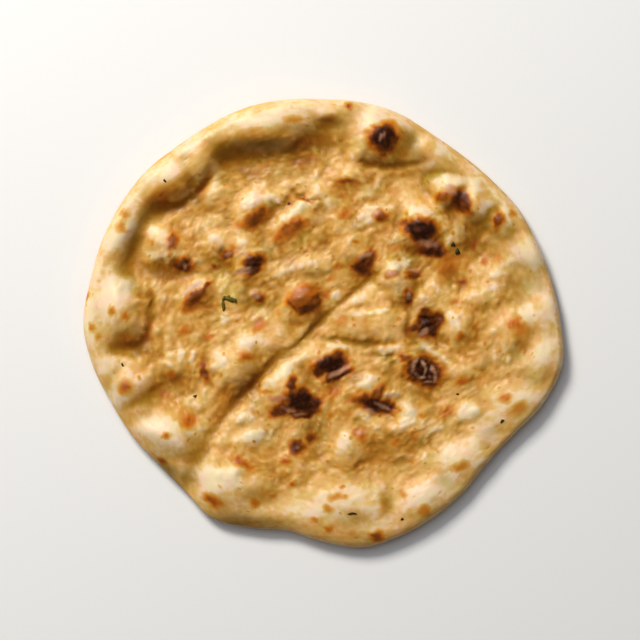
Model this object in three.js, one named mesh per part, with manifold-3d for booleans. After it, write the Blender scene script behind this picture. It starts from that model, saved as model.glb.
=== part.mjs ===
// A round naan: a leavened flatbread with a rolled rim, pillowy bubbles, a long diagonal crease, a
// rumpled and folded middle, and a few flecks of coriander baked onto its top.
// Millimetres, +Z up. The origin is the middle of the underside, which is the face that it rests on.
// The bread is one closed skin: a box-sphere is wrapped round it, its upper part onto the top crust
// and its lower part onto the underside, and the height is then a function of the place.

import * as THREE from "three";
import { mergeVertices } from "three/addons/utils/BufferGeometryUtils.js";
import Module from "manifold-3d";

// Outline: the radius at every 10 degrees, anticlockwise from +X.
const OUTLINE_RADII = [
  118.5, 116, 114, 113, 110.5, 109, 109, 111.5, 112, 112, 113.5, 114.5,
  114.5, 115, 117, 118, 118.5, 119, 120.5, 118, 114, 111.5, 109, 109,
  112.5, 109, 105.5, 109.5, 114, 113, 111.5, 109.5, 107.5, 110.5, 117, 121,
];

// The rolled rim, at every 15 degrees: the height of its crest over the table, how far in from the
// outline the crest runs, and how far its inner slope reaches from there.
const RIM_CREST = [
  10.5, 10.5, 10.5, 10.5, 10.5, 10.5, 11.5, 12.5, 13, 12.5, 12.5, 12,
  11.5, 10.5, 10.5, 11, 10.5, 10.5, 10.5, 10, 9.4, 9.2, 9.2, 9.6,
];
const RIM_INSET = [7, 8, 9, 10, 9, 9, 9, 10, 9, 8, 8, 8, 9, 9, 9, 11, 12, 10, 8, 7.5, 6.5, 6, 6, 6];
const RIM_SLOPE = [
  17, 17, 17, 17, 17, 17, 16, 15, 14, 13, 13, 14,
  17, 17, 17, 17, 17, 17, 17, 17, 17, 17, 17, 17,
];
// How far in from the outline the round of the edge reaches, at every 30 degrees.
const RIM_ROUNDING = [3.6, 5, 6.5, 6, 6, 5, 5, 10, 14, 6.5, 4.6, 3.6];
const RIM_FULLNESS = 3; // the dome that the crest's outer side is cut from, in widths of that side
const EDGE_SHARE = 0.42; // the widest line of the edge, as a share of its thickness

// The underside: flat in the middle, and curled up off the table towards the rim, every 30 degrees.
const CURL_START = 30;
const CURL_LIFT = [2.6, 2.2, 2.4, 3.0, 3.4, 3.0, 2.4, 2.6, 3.2, 2.8, 3.6, 3.6];

const FLOOR_THICKNESS = 7.4; // the rumpled middle, between its bumps
const PUFF_FOOT = 2; // how far below that a puff's dome starts, which sets how steep its side is
const RIM_FOOT = 3;
const RIM_BLEND = 3;

// Puffs, the large bubbles that stand out of the crust:
// middle x and y, half length, half width, bearing in degrees, height of the top, and how softly the
// side runs into what lies round it.
const PUFFS = {
  north_west_lobe: [-77, 72, 25, 16, 32, 15, 4],
  north_west_link: [-61, 80, 18, 13.5, 45, 14.8, 4],
  north_roll: [-30, 98.5, 42, 17.5, 7, 17, 4],
  north_saddle: [0, 104, 12, 7, 0, 11.8, 3],
  north_charred: [25, 94.5, 17, 19, 0, 14.6, 7],
  north_east_roll: [53, 84, 20, 11, -36, 12.4, 5],
  north_east_inner: [62, 67, 14, 12, -40, 14.4, 3],
  north_east_outer: [76, 60, 18, 11, -60, 15.2, 3],
  north_east_rim: [88, 51, 13, 10, -60, 12.8, 3],
  east_upper: [104, 36, 18, 11, -68, 12.4, 3.5],
  east_middle: [111, 8, 12, 8, -80, 10.8, 3.5],
  east_orange: [95, -3, 16, 15, 60, 11.4, 6],
  east_lower: [109, -17, 16, 12, 70, 11.2, 6],
  south_east_inner: [93, -40, 19, 15, 30, 11.2, 6],
  south_east_long: [67, -68, 19, 13, 40, 11, 6],
  south_south_east: [49, -87, 16, 13, 30, 11.2, 6],
  south_long: [8, -91.5, 31, 18, 2, 12.6, 5],
  south_west_high: [-47, -80, 25, 19, 10, 13.4, 6],
  south_west_wide: [-77, -56, 21, 15, -20, 15.2, 4.5],
  west_low: [-98, -32, 16, 15, 20, 13.4, 3],
  west_high: [-102, 7, 22, 17, -82, 15.6, 4.5],
  west_upper: [-103, 42, 19, 10, 68, 13.2, 3],
};

// Bumps, the lower swellings of the middle: x, y, half length, half width, bearing, height.
const BUMPS = [
  // north-west of the crease, from the rim inwards
  [-78, 36, 14, 12.5, -20, 3.8],
  [-64, 15.5, 11, 6, 28, 1.9],
  [-54, 64, 9, 6, 30, 1.6],
  [-52, 41, 9, 7, 30, 1.5],
  [-36, 57, 12, 9, 35, 3],
  [-38.5, 32.5, 11.5, 10.5, -20, 4],
  [-17, 49.5, 14, 8, 42, 2.2],
  [-20, 65, 11, 5, 30, 1.2],
  [-3, 62, 11, 7, 25, 1.6],
  [12, 74, 9, 6, 15, 1.8],
  [7, 53, 9, 8, 20, 1.5],
  [27, 53, 9, 7, 30, 1.6],
  [12, 39, 12, 9, -40, 2.6],
  [49, 49, 13, 12, -30, 5.4],
  [31, 28, 7, 9, 10, 1.8],
  [-31, 13.5, 6, 5.5, 0, 1.2],
  [-8, 28, 14, 6, 12, 1.6],
  [-12, 11, 10.5, 10, 0, 4],
  [-70, -19, 12, 8, 10, 1.5],
  [-44, -23, 13, 12, 50, 4.6],
  [-35, -12, 13, 9, 25, 2.6],
  [-60, -38, 7, 6, 20, 1.1],
  // the bank of the crease, and south-east of it
  [-18.5, -33, 12, 12, 20, 4.4],
  [-4, -17, 10, 8, 15, 2.2],
  [-36, -57, 12, 7, 30, 1.2],
  [22, 0, 12, 9, 10, 1.8],
  [34, -3, 11, 12, 20, 4.4],
  [41, -17, 8, 10, 15, 3.8],
  [37, 21, 9, 11, 30, 4.2],
  [49, 9, 7, 8, 0, 2],
  [67, -3, 9, 10, 25, 4],
  [80, 14, 10, 7, 10, 1.6],
  [88, 27, 8, 6, 30, 1.1],
  [66, 44, 8, 6, -30, 1.3],
  [70, -24, 9, 6, 30, 1.2],
  [22, -32, 11, 9, -10, 2.6],
  [45, -49, 10, 12, 10, 2.8],
  [27, -53, 9, 7, 20, 1.4],
  [13.5, -62, 11, 10, 20, 2.4],
  [72, -44, 8, 6, 35, 1.2],
  [-17, -70, 9, 7, 10, 1.2],
];

// Hollows, where the crust folds in between its swellings: the same, with the depth.
const HOLLOWS = [
  // behind the rim, anticlockwise from the east
  [101, 17, 8, 9, 0, 2],
  [77, 36, 10, 13, 20, 3.4],
  [42, 72.5, 18, 10, -12, 2.8],
  [44, 89, 9, 4, 60, 1.2],
  [3, 99, 9, 4, 0, 1.4],
  [0, 88, 9, 8, 0, 1.6],
  [-8, 78, 13, 8, 10, 1.6],
  [-43, 76, 18, 9, 4, 2.6],
  [-74, 55, 13, 7, 8, 2.6],
  [-93, 39, 11, 5, 68, 2.2],
  [-78, 26.5, 11, 4.5, -2, 2.2],
  [-98, -14, 12, 4, -8, 1.8],
  [-75, -34, 13, 8, -10, 2.8],
  [-61, -64, 6, 11, -12, 1.3],
  [-69, -80, 8, 6, -45, 2],
  [-25, -88, 8, 6, 0, 0.8],
  [32, -92, 4, 7, 0, 1.2],
  // in the middle
  [-51, 27, 8, 6, -20, 1.6],
  [-33, 10, 9, 9, -20, 3.6],
  [-57, 5, 9, 6, -30, 1.1],
  [-2, 0, 6, 9, -30, 1.4],
  [21, 20, 8, 7, 0, 2],
  [50, 29, 10, 9, -40, 3.2],
  [66, 20, 9, 8, -40, 3.4],
  [56, -6, 9, 9, 0, 3.8],
  [56, -34, 11, 11, -30, 4.6],
  [65, -52, 8, 12, 20, 1.3],
  [36, -70, 13, 9, -18, 2],
  [-3, -57, 7, 14, 8, 3.6],
  [7, -28, 5, 9, -20, 1.8],
  [29, -44, 7, 5, -40, 1.6],
  [-37, -33, 8, 6, 40, 1.6],
  [20, -14, 12, 5, -10, 1.6],
];

// Folds, the narrow valleys between swellings: the path of each, and its depth and half width at the
// two ends of the path.
const FOLDS = {
  long_crease: {
    path: [
      [-60, -63], [-55, -55], [-49, -46], [-40.5, -36.5], [-30, -26], [-19.5, -15.5],
      [-10, -7.5], [0.5, 2.5], [10.5, 11.5], [21, 19.5], [31, 28.5], [39, 36],
    ],
    depth: [2.6, 0.5],
    halfWidth: [4.4, 1.5],
  },
  under_north_roll: {
    path: [[-59, 75], [-49, 80.5], [-36, 83], [-20, 84], [-4, 86]],
    depth: [1.8, 1.6],
    halfWidth: [4.4, 5],
  },
  under_charred_puff: {
    path: [[14, 84], [22, 79], [31, 77.5], [43, 79], [56, 82.5]],
    depth: [1.2, 0.8],
    halfWidth: [2.2, 1.8],
  },
  beside_west_puff: {
    path: [[-88, 18], [-85.5, 11], [-85.5, 2], [-88, -7], [-96, -13], [-110, -15.5]],
    depth: [0.8, 1],
    halfWidth: [2.4, 2.4],
  },
  under_north_west_lobe: {
    path: [[-54, 81], [-57.5, 73], [-63, 63.5], [-75, 58.5], [-88, 55]],
    depth: [1.4, 2],
    halfWidth: [3.2, 3.2],
  },
  below_middle_ridge: {
    path: [[-8, -6.5], [6, -8.5], [18, -10.5], [30, -10.5], [42, -9]],
    depth: [0.8, 1.2],
    halfWidth: [2, 2.2],
  },
  behind_middle_ridge: {
    path: [[40.5, -9], [42, 0], [43, 9], [47, 18], [56, 24]],
    depth: [1.2, 0.5],
    halfWidth: [1.8, 2.2],
  },
  north_bump_edge: {
    path: [[-18, 69], [-13, 63.5], [-7, 61], [1, 61.5]],
    depth: [0.9, 0.6],
    halfWidth: [1.5, 1.4],
  },
  north_middle_line: {
    path: [[-6, 38], [6, 41], [16, 45], [28, 50], [37, 52]],
    depth: [0.4, 0.5],
    halfWidth: [1.8, 1.8],
  },
};
const FOLD_FADE = 0.2; // the share of the path over which each end fades in

// Low waves that keep the middle from lying flat: height, wavelengths over 2 pi, the sway of their
// crests, and how far in from the rim they reach their full height.
const WAVE = { height: 0.45, across: 4.3, sway: 17, swayBy: 1.6, along: 12.5, phase: 0.6, reach: 20 };

// Sections of a swelling: how full its dome is, how fast the dome falls on beyond its outline, and how
// far a bump's bell reaches, in squared outlines.
const DOME_FULLNESS = 1.4;
const DOME_FALL = 0.4;
const BELL_REACH = 1.6;

// Lobes that make each outline uneven: how many, how strong, and how fast they turn with the place.
const LOBES = [[2, 0.16, 1], [3, 0.13, 1.7], [5, 0.08, 2.3]];
const LOBE_TURN = [0.74, -1.22]; // radians for each millimetre along x and y

// Coriander, torn small: middle x and y, length, width, bearing.
const FLECKS = {
  leaf_blade: [-47, 12, 6.6, 2.6, 4],
  leaf_stalk: [-50.4, 9, 6.4, 1.8, 84],
  seed_upper: [64.5, 39, 2.6, 2.4, 0],
  seed_lower: [67, 36, 3.2, 2.8, -40],
};
const FLECK_THICKNESS = 1.1;
const FLECK_PROUD = 0.45; // the share of that which stands above the crust

// Skin: squares along each side of the wrapped box, and the share of them on the top crust.
const SQUARES = 30;
const TOP_SHARE = 0.8;

const radians = (degrees) => (degrees * Math.PI) / 180;

function smoothStep(t) {
  const c = THREE.MathUtils.clamp(t, 0, 1);
  return c * c * (3 - 2 * c);
}

// A value from a list that runs evenly round the loaf, joined by smooth curves.
function around(list, bearing) {
  const turns = bearing / (2 * Math.PI);
  const place = (turns - Math.floor(turns)) * list.length;
  const i = Math.floor(place);
  const f = place - i;
  const [a, b, c, d] = [-1, 0, 1, 2].map((k) => list[(i + k + list.length) % list.length]);
  return b + 0.5 * f * (c - a + f * (2 * a - 5 * b + 4 * c - d + f * (3 * (b - c) + d - a)));
}

// The higher of two surfaces, with the valley between them rounded.
function swell(a, b, softness) {
  const h = Math.max(softness - Math.abs(a - b), 0) / softness;
  return Math.max(a, b) + (h * h * softness) / 4;
}

// Squared distance from the middle of an uneven ellipse, about 1 on its outline. Where it lies sets
// how it is uneven, so that no two swellings share an outline.
function blob(x, y, [cx, cy, halfLength, halfWidth, bearing], unevenness = 1) {
  const [c, s] = [Math.cos(radians(bearing)), Math.sin(radians(bearing))];
  const along = ((x - cx) * c + (y - cy) * s) / halfLength;
  const across = ((y - cy) * c - (x - cx) * s) / halfWidth;
  const turn = Math.atan2(across, along);
  const phase = LOBE_TURN[0] * cx + LOBE_TURN[1] * cy;
  const lobes = LOBES.map(([count, strength, rate]) => strength * Math.sin(count * turn + rate * phase));
  const uneven = lobes.reduce((sum, lobe) => sum + lobe, 0);
  return (along * along + across * across) * (1 + unevenness * uneven);
}

// The sections by the squared distance: the dome falls on beyond its outline, the bell runs out flat.
const dome = (q) => (q < 1 ? Math.pow(1 - q, DOME_FULLNESS) : DOME_FALL * (1 - q));
const bell = (q) => Math.pow(Math.max(1 - q / BELL_REACH, 0), 2);

function puffTop(puff, x, y) {
  const foot = FLOOR_THICKNESS - PUFF_FOOT;
  return foot + (puff[5] - foot) * dome(blob(x, y, puff));
}

function rimTop(inset, bearing) {
  const crestInset = around(RIM_INSET, bearing);
  const reach = inset > crestInset ? around(RIM_SLOPE, bearing) : crestInset * RIM_FULLNESS;
  const foot = FLOOR_THICKNESS - RIM_FOOT;
  return foot + (around(RIM_CREST, bearing) - foot) * dome(Math.pow((inset - crestInset) / reach, 2));
}

function waves(x, y) {
  const [along, across] = [(x + y) * Math.SQRT1_2, (y - x) * Math.SQRT1_2];
  const sway = WAVE.swayBy * Math.sin(along / WAVE.sway);
  const crest = Math.sin(across / WAVE.across + sway);
  return WAVE.height * crest * Math.cos(along / WAVE.along + WAVE.phase);
}

// How deep a fold is at a place, by the nearest point of its path.
function foldDepth(x, y, { path, depth, halfWidth }) {
  let nearest = Infinity;
  let share = 0;
  const spans = path.length - 1;
  for (let i = 0; i < spans; i++) {
    const [[ax, ay], [bx, by]] = [path[i], path[i + 1]];
    const [dx, dy] = [bx - ax, by - ay];
    const t = THREE.MathUtils.clamp(((x - ax) * dx + (y - ay) * dy) / (dx * dx + dy * dy), 0, 1);
    const distance = Math.hypot(x - ax - t * dx, y - ay - t * dy);
    if (distance < nearest) [nearest, share] = [distance, (i + t) / spans];
  }
  const [deep, wide] = [depth, halfWidth].map(([a, b]) => THREE.MathUtils.lerp(a, b, share));
  const fade = smoothStep(share / FOLD_FADE) * smoothStep((1 - share) / FOLD_FADE);
  return fade * deep * Math.exp(-Math.pow(nearest / wide, 2));
}

// The top crust over the table, before its edge is rounded off.
function topCrust(x, y, inset, bearing) {
  const inMiddle = smoothStep((inset - around(RIM_INSET, bearing)) / WAVE.reach);
  let z = FLOOR_THICKNESS + waves(x, y) * inMiddle;
  z = swell(z, rimTop(inset, bearing), RIM_BLEND);
  for (const puff of Object.values(PUFFS)) z = swell(z, puffTop(puff, x, y), puff[6]);
  for (const bump of BUMPS) z += bump[5] * bell(blob(x, y, bump));
  for (const hollow of HOLLOWS) z -= hollow[5] * Math.exp(-blob(x, y, hollow, 0.5));
  for (const fold of Object.values(FOLDS)) z -= foldDepth(x, y, fold);
  return z;
}

// The underside over the table, before its edge is rounded off.
function underside(inset, bearing) {
  return around(CURL_LIFT, bearing) * smoothStep(1 - inset / CURL_START);
}

// A direction from the middle of the wrapped box becomes a point of the skin.
function skinPoint(direction) {
  const bearing = Math.atan2(direction.y, direction.x);
  const radius = around(OUTLINE_RADII, bearing);
  const half = Math.acos(THREE.MathUtils.clamp(direction.z, -1, 1)) / 2;
  const edge = Math.asin(Math.sqrt(TOP_SHARE));
  const isTop = half <= edge;
  const share = isTop ? Math.sin(half) / Math.sin(edge) : Math.cos(half) / Math.cos(edge);
  // Along the skin from the middle to the edge: flat first, then round the quarter turn of the edge.
  const rounding = around(RIM_ROUNDING, bearing);
  const flat = radius - rounding;
  const walked = share * (flat + (rounding * Math.PI) / 2);
  const turn = Math.max(walked - flat, 0) / rounding;
  const r = walked < flat ? walked : flat + rounding * Math.sin(turn);
  const [x, y] = [r * Math.cos(bearing), r * Math.sin(bearing)];
  const inset = radius - r;
  const top = topCrust(x, y, inset, bearing);
  const bottom = underside(inset, bearing);
  const widest = bottom + (top - bottom) * EDGE_SHARE;
  const z = widest + ((isTop ? top : bottom) - widest) * Math.cos(turn);
  return new THREE.Vector3(x, y, z);
}

// Positions alone, with shared vertices merged.
function welded(geometry) {
  geometry.deleteAttribute("normal");
  geometry.deleteAttribute("uv");
  return mergeVertices(geometry, 1e-4);
}

function breadGeometry() {
  const geometry = welded(new THREE.BoxGeometry(2, 2, 2, SQUARES, SQUARES, SQUARES));
  const places = geometry.getAttribute("position");
  const even = (t) => Math.tan((t * Math.PI) / 4); // evens out the squares of a box-sphere
  for (let i = 0; i < places.count; i++) {
    const corner = new THREE.Vector3().fromBufferAttribute(places, i);
    const direction = new THREE.Vector3(even(corner.x), even(corner.y), even(corner.z)).normalize();
    places.setXYZ(i, ...skinPoint(direction).toArray());
  }
  return geometry;
}

// A fleck of coriander, lying on the crust and partly sunk into it.
function fleckGeometry([x, y, length, width, bearing]) {
  const place = Math.atan2(y, x);
  const crust = topCrust(x, y, around(OUTLINE_RADII, place) - Math.hypot(x, y), place);
  const geometry = welded(new THREE.IcosahedronGeometry(1, 1));
  geometry.scale(length / 2, width / 2, FLECK_THICKNESS);
  geometry.rotateZ(radians(bearing));
  geometry.translate(x, y, crust - FLECK_THICKNESS * (1 - 2 * FLECK_PROUD));
  return geometry;
}

const wasm = await Module();
wasm.setup();

function solidOf(geometry) {
  const vertProperties = new Float32Array(geometry.getAttribute("position").array);
  const triVerts = new Uint32Array(geometry.index.array);
  return new wasm.Manifold(new wasm.Mesh({ numProp: 3, vertProperties, triVerts }));
}

function geometryOf(solid) {
  const mesh = solid.getMesh();
  const geometry = new THREE.BufferGeometry();
  geometry.setAttribute("position", new THREE.BufferAttribute(mesh.vertProperties, 3));
  geometry.setIndex(new THREE.BufferAttribute(mesh.triVerts, 1));
  geometry.computeVertexNormals();
  return geometry;
}

const crustMaterial = new THREE.MeshStandardMaterial({ color: 0xe2b87c, roughness: 0.55, metalness: 0 });

const bread = Object.values(FLECKS).reduce(
  (solid, fleck) => solid.add(solidOf(fleckGeometry(fleck))),
  solidOf(breadGeometry()),
);
const naan = new THREE.Mesh(geometryOf(bread), crustMaterial);
naan.name = "naan";

const part = new THREE.Group();
part.add(naan);
export default part;
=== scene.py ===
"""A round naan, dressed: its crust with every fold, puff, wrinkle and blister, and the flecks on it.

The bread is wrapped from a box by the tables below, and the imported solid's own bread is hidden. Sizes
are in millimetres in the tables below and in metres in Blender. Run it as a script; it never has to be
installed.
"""

import math

import bmesh
import bpy
import numpy as np
from mathutils import Matrix


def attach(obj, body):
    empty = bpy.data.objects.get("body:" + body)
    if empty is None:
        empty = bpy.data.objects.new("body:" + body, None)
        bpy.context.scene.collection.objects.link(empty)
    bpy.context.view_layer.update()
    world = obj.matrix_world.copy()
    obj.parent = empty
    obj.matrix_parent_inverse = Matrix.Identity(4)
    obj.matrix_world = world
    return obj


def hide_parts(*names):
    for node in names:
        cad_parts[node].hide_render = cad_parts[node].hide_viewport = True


bl_info = {
    "name": "Round Naan",
    "version": (1, 0, 0),
    "blender": (4, 5, 0),
    "location": "View3D > Sidebar > Naan",
    "description": "Builds a baked round naan with its herbs, and a studio for it",
    "category": "Add Mesh",
}

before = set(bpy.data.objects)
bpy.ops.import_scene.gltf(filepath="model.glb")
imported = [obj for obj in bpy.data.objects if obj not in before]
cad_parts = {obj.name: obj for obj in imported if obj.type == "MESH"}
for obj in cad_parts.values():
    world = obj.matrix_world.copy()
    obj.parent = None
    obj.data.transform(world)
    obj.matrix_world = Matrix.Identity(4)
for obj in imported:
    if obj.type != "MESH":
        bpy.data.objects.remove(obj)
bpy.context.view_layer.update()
MM = 0.001

# ---------------------------------------------------------------- the bread's form, in millimetres

# Outline: the radius at every 10 degrees, anticlockwise from +X.
OUTLINE_RADII = (
    118.5, 116, 114, 113, 110.5, 109, 109, 111.5, 112, 112, 113.5, 114.5,
    114.5, 115, 117, 118, 118.5, 119, 120.5, 118, 114, 111.5, 109, 109,
    112.5, 109, 105.5, 109.5, 114, 113, 111.5, 109.5, 107.5, 110.5, 117, 121,
)

# The rolled rim, at every 15 degrees: crest height, the crest's way in, the inner slope's reach.
RIM_CREST = (
    10.5, 10.5, 10.5, 10.5, 10.5, 10.5, 11.5, 12.5, 13, 12.5, 12.5, 12,
    11.5, 10.5, 10.5, 11, 10.5, 10.5, 10.5, 10, 9.4, 9.2, 9.2, 9.6,
)
RIM_INSET = (7, 8, 9, 10, 9, 9, 9, 10, 9, 8, 8, 8, 9, 9, 9, 11, 12, 10, 8, 7.5, 6.5, 6, 6, 6)
RIM_SLOPE = (
    17, 17, 17, 17, 17, 17, 16, 15, 14, 13, 13, 14,
    17, 17, 17, 17, 17, 17, 17, 17, 17, 17, 17, 17,
)
RIM_ROUNDING = (3.6, 5, 6.5, 6, 6, 5, 5, 10, 14, 6.5, 4.6, 3.6)  # at every 30 degrees
RIM_FULLNESS = 3  # the outer slope's reach, in times the crest's way in
EDGE_SHARE = 0.42  # how far up the side the bread is widest

# The underside's curl off the table, at every 30 degrees.
CURL_START = 30
CURL_LIFT = (2.6, 2.2, 2.4, 3.0, 3.4, 3.0, 2.4, 2.6, 3.2, 2.8, 3.6, 3.6)

FLOOR_THICKNESS = 7.4  # of the middle, between its swellings
PUFF_FOOT = 2  # how far under that the puffs start
RIM_FOOT = 3  # and the rim
RIM_BLEND = 3  # how soft the valley inside the rim is

# How swellings fall off, from 1 in their middles.
DOME_FULLNESS = 1.4
DOME_FALL = 0.4
BELL_REACH = 1.6

# Uneven outlines: how many lobes, how large, their phase, and how the phases change with the place.
LOBES = ((2, 0.16, 1), (3, 0.13, 1.7), (5, 0.08, 2.3))
LOBE_TURN = (0.74, -1.22)
HOLLOW_UNEVENNESS = 0.5

# Puffs: middle x and y, half length, half width, bearing, height of the top, softness of the side.
PUFFS = {
    "north_west_lobe": (-77, 72, 25, 16, 32, 15, 4),
    "north_west_link": (-61, 80, 18, 13.5, 45, 14.8, 4),
    "north_roll": (-30, 98.5, 42, 17.5, 7, 17, 4),
    "north_saddle": (0, 104, 12, 7, 0, 11.8, 3),
    "north_charred": (25, 94.5, 17, 19, 0, 14.6, 7),
    "north_east_roll": (53, 84, 20, 11, -36, 12.4, 5),
    "north_east_inner": (62, 67, 14, 12, -40, 14.4, 3),
    "north_east_outer": (76, 60, 18, 11, -60, 15.2, 3),
    "north_east_rim": (88, 51, 13, 10, -60, 12.8, 3),
    "east_upper": (104, 36, 18, 11, -68, 12.4, 3.5),
    "east_middle": (111, 8, 12, 8, -80, 10.8, 3.5),
    "east_orange": (95, -3, 16, 15, 60, 11.4, 6),
    "east_lower": (109, -17, 16, 12, 70, 11.2, 6),
    "south_east_inner": (93, -40, 19, 15, 30, 11.2, 6),
    "south_east_long": (67, -68, 19, 13, 40, 11, 6),
    "south_south_east": (49, -87, 16, 13, 30, 11.2, 6),
    "south_long": (8, -91.5, 31, 18, 2, 12.6, 5),
    "south_west_high": (-47, -80, 25, 19, 10, 13.4, 6),
    "south_west_wide": (-77, -56, 21, 15, -20, 15.2, 4.5),
    "west_low": (-98, -32, 16, 15, 20, 13.4, 3),
    "west_high": (-102, 7, 22, 17, -82, 15.6, 4.5),
    "west_upper": (-103, 42, 19, 10, 68, 13.2, 3),
}

# Bumps, the lower swellings of the middle: x, y, half length, half width, bearing, height.
BUMPS = (
    # north-west of the crease, from the rim inwards
    (-78, 36, 14, 12.5, -20, 3.8),
    (-64, 15.5, 11, 6, 28, 1.9),
    (-54, 64, 9, 6, 30, 1.6),
    (-52, 41, 9, 7, 30, 1.5),
    (-36, 57, 12, 9, 35, 3),
    (-38.5, 32.5, 11.5, 10.5, -20, 4),
    (-17, 49.5, 14, 8, 42, 2.2),
    (-20, 65, 11, 5, 30, 1.2),
    (-3, 62, 11, 7, 25, 1.6),
    (12, 74, 9, 6, 15, 1.8),
    (7, 53, 9, 8, 20, 1.5),
    (27, 53, 9, 7, 30, 1.6),
    (12, 39, 12, 9, -40, 2.6),
    (49, 49, 13, 12, -30, 5.4),
    (31, 28, 7, 9, 10, 1.8),
    (-31, 13.5, 6, 5.5, 0, 1.2),
    (-8, 28, 14, 6, 12, 1.6),
    (-12, 11, 10.5, 10, 0, 4),
    (-70, -19, 12, 8, 10, 1.5),
    (-44, -23, 13, 12, 50, 4.6),
    (-35, -12, 13, 9, 25, 2.6),
    (-60, -38, 7, 6, 20, 1.1),
    # the bank of the crease, and south-east of it
    (-18.5, -33, 12, 12, 20, 4.4),
    (-4, -17, 10, 8, 15, 2.2),
    (-36, -57, 12, 7, 30, 1.2),
    (22, 0, 12, 9, 10, 1.8),
    (34, -3, 11, 12, 20, 4.4),
    (41, -17, 8, 10, 15, 3.8),
    (37, 21, 9, 11, 30, 4.2),
    (49, 9, 7, 8, 0, 2),
    (67, -3, 9, 10, 25, 4),
    (80, 14, 10, 7, 10, 1.6),
    (88, 27, 8, 6, 30, 1.1),
    (66, 44, 8, 6, -30, 1.3),
    (70, -24, 9, 6, 30, 1.2),
    (22, -32, 11, 9, -10, 2.6),
    (45, -49, 10, 12, 10, 2.8),
    (27, -53, 9, 7, 20, 1.4),
    (13.5, -62, 11, 10, 20, 2.4),
    (72, -44, 8, 6, 35, 1.2),
    (-17, -70, 9, 7, 10, 1.2),
)

# Hollows, where the crust folds in between its swellings: the same, with the depth.
HOLLOWS = (
    # behind the rim, anticlockwise from the east
    (101, 17, 8, 9, 0, 2),
    (77, 36, 10, 13, 20, 3.4),
    (42, 72.5, 18, 10, -12, 2.8),
    (44, 89, 9, 4, 60, 1.2),
    (3, 99, 9, 4, 0, 1.4),
    (0, 88, 9, 8, 0, 1.6),
    (-8, 78, 13, 8, 10, 1.6),
    (-43, 76, 18, 9, 4, 2.6),
    (-74, 55, 13, 7, 8, 2.6),
    (-93, 39, 11, 5, 68, 2.2),
    (-78, 26.5, 11, 4.5, -2, 2.2),
    (-98, -14, 12, 4, -8, 1.8),
    (-75, -34, 13, 8, -10, 2.8),
    (-61, -64, 6, 11, -12, 1.3),
    (-69, -80, 8, 6, -45, 2),
    (-25, -88, 8, 6, 0, 0.8),
    (32, -92, 4, 7, 0, 1.2),
    # in the middle
    (-51, 27, 8, 6, -20, 1.6),
    (-33, 10, 9, 9, -20, 3.6),
    (-57, 5, 9, 6, -30, 1.1),
    (-2, 0, 6, 9, -30, 1.4),
    (21, 20, 8, 7, 0, 2),
    (50, 29, 10, 9, -40, 3.2),
    (66, 20, 9, 8, -40, 3.4),
    (56, -6, 9, 9, 0, 3.8),
    (56, -34, 11, 11, -30, 4.6),
    (65, -52, 8, 12, 20, 1.3),
    (36, -70, 13, 9, -18, 2),
    (-3, -57, 7, 14, 8, 3.6),
    (7, -28, 5, 9, -20, 1.8),
    (29, -44, 7, 5, -40, 1.6),
    (-37, -33, 8, 6, 40, 1.6),
    (20, -14, 12, 5, -10, 1.6),
)

# Folds: the path of each, its depth at the two ends, and its half width at the two ends.
FOLDS = {
    "long_crease": (
        (
            (-60, -63), (-55, -55), (-49, -46), (-40.5, -36.5), (-30, -26), (-19.5, -15.5),
            (-10, -7.5), (0.5, 2.5), (10.5, 11.5), (21, 19.5), (31, 28.5), (39, 36),
        ),
        (2.6, 0.5), (4.4, 1.5),
    ),
    "under_north_roll": (((-59, 75), (-49, 80.5), (-36, 83), (-20, 84), (-4, 86)), (1.8, 1.6), (4.4, 5)),
    "under_charred_puff": (((14, 84), (22, 79), (31, 77.5), (43, 79), (56, 82.5)), (1.2, 0.8), (2.2, 1.8)),
    "beside_west_puff": (
        ((-88, 18), (-85.5, 11), (-85.5, 2), (-88, -7), (-96, -13), (-110, -15.5)), (0.8, 1), (2.4, 2.4),
    ),
    "under_north_west_lobe": (
        ((-54, 81), (-57.5, 73), (-63, 63.5), (-75, 58.5), (-88, 55)), (1.4, 2), (3.2, 3.2),
    ),
    "below_middle_ridge": (
        ((-8, -6.5), (6, -8.5), (18, -10.5), (30, -10.5), (42, -9)), (0.8, 1.2), (2, 2.2),
    ),
    "behind_middle_ridge": (((40.5, -9), (42, 0), (43, 9), (47, 18), (56, 24)), (1.2, 0.5), (1.8, 2.2)),
    "north_bump_edge": (((-18, 69), (-13, 63.5), (-7, 61), (1, 61.5)), (0.9, 0.6), (1.5, 1.4)),
    "north_middle_line": (((-6, 38), (6, 41), (16, 45), (28, 50), (37, 52)), (0.4, 0.5), (1.8, 1.8)),
}
FOLD_FADE = 0.2  # the share of its path over which a fold fades out at each end

# Low waves of the middle: height, wavelengths over 2 pi, and the sway of their crests.
WAVE_HEIGHT = 0.45
WAVE_ACROSS = 4.3
WAVE_ALONG = 12.5
WAVE_PHASE = 0.6
WAVE_SWAY = 17
WAVE_SWAY_BY = 1.6
WAVE_REACH = 20  # from the rim's crest to where the waves have their full height

# ------------------------------------------------------------------- how it baked, in millimetres

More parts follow.
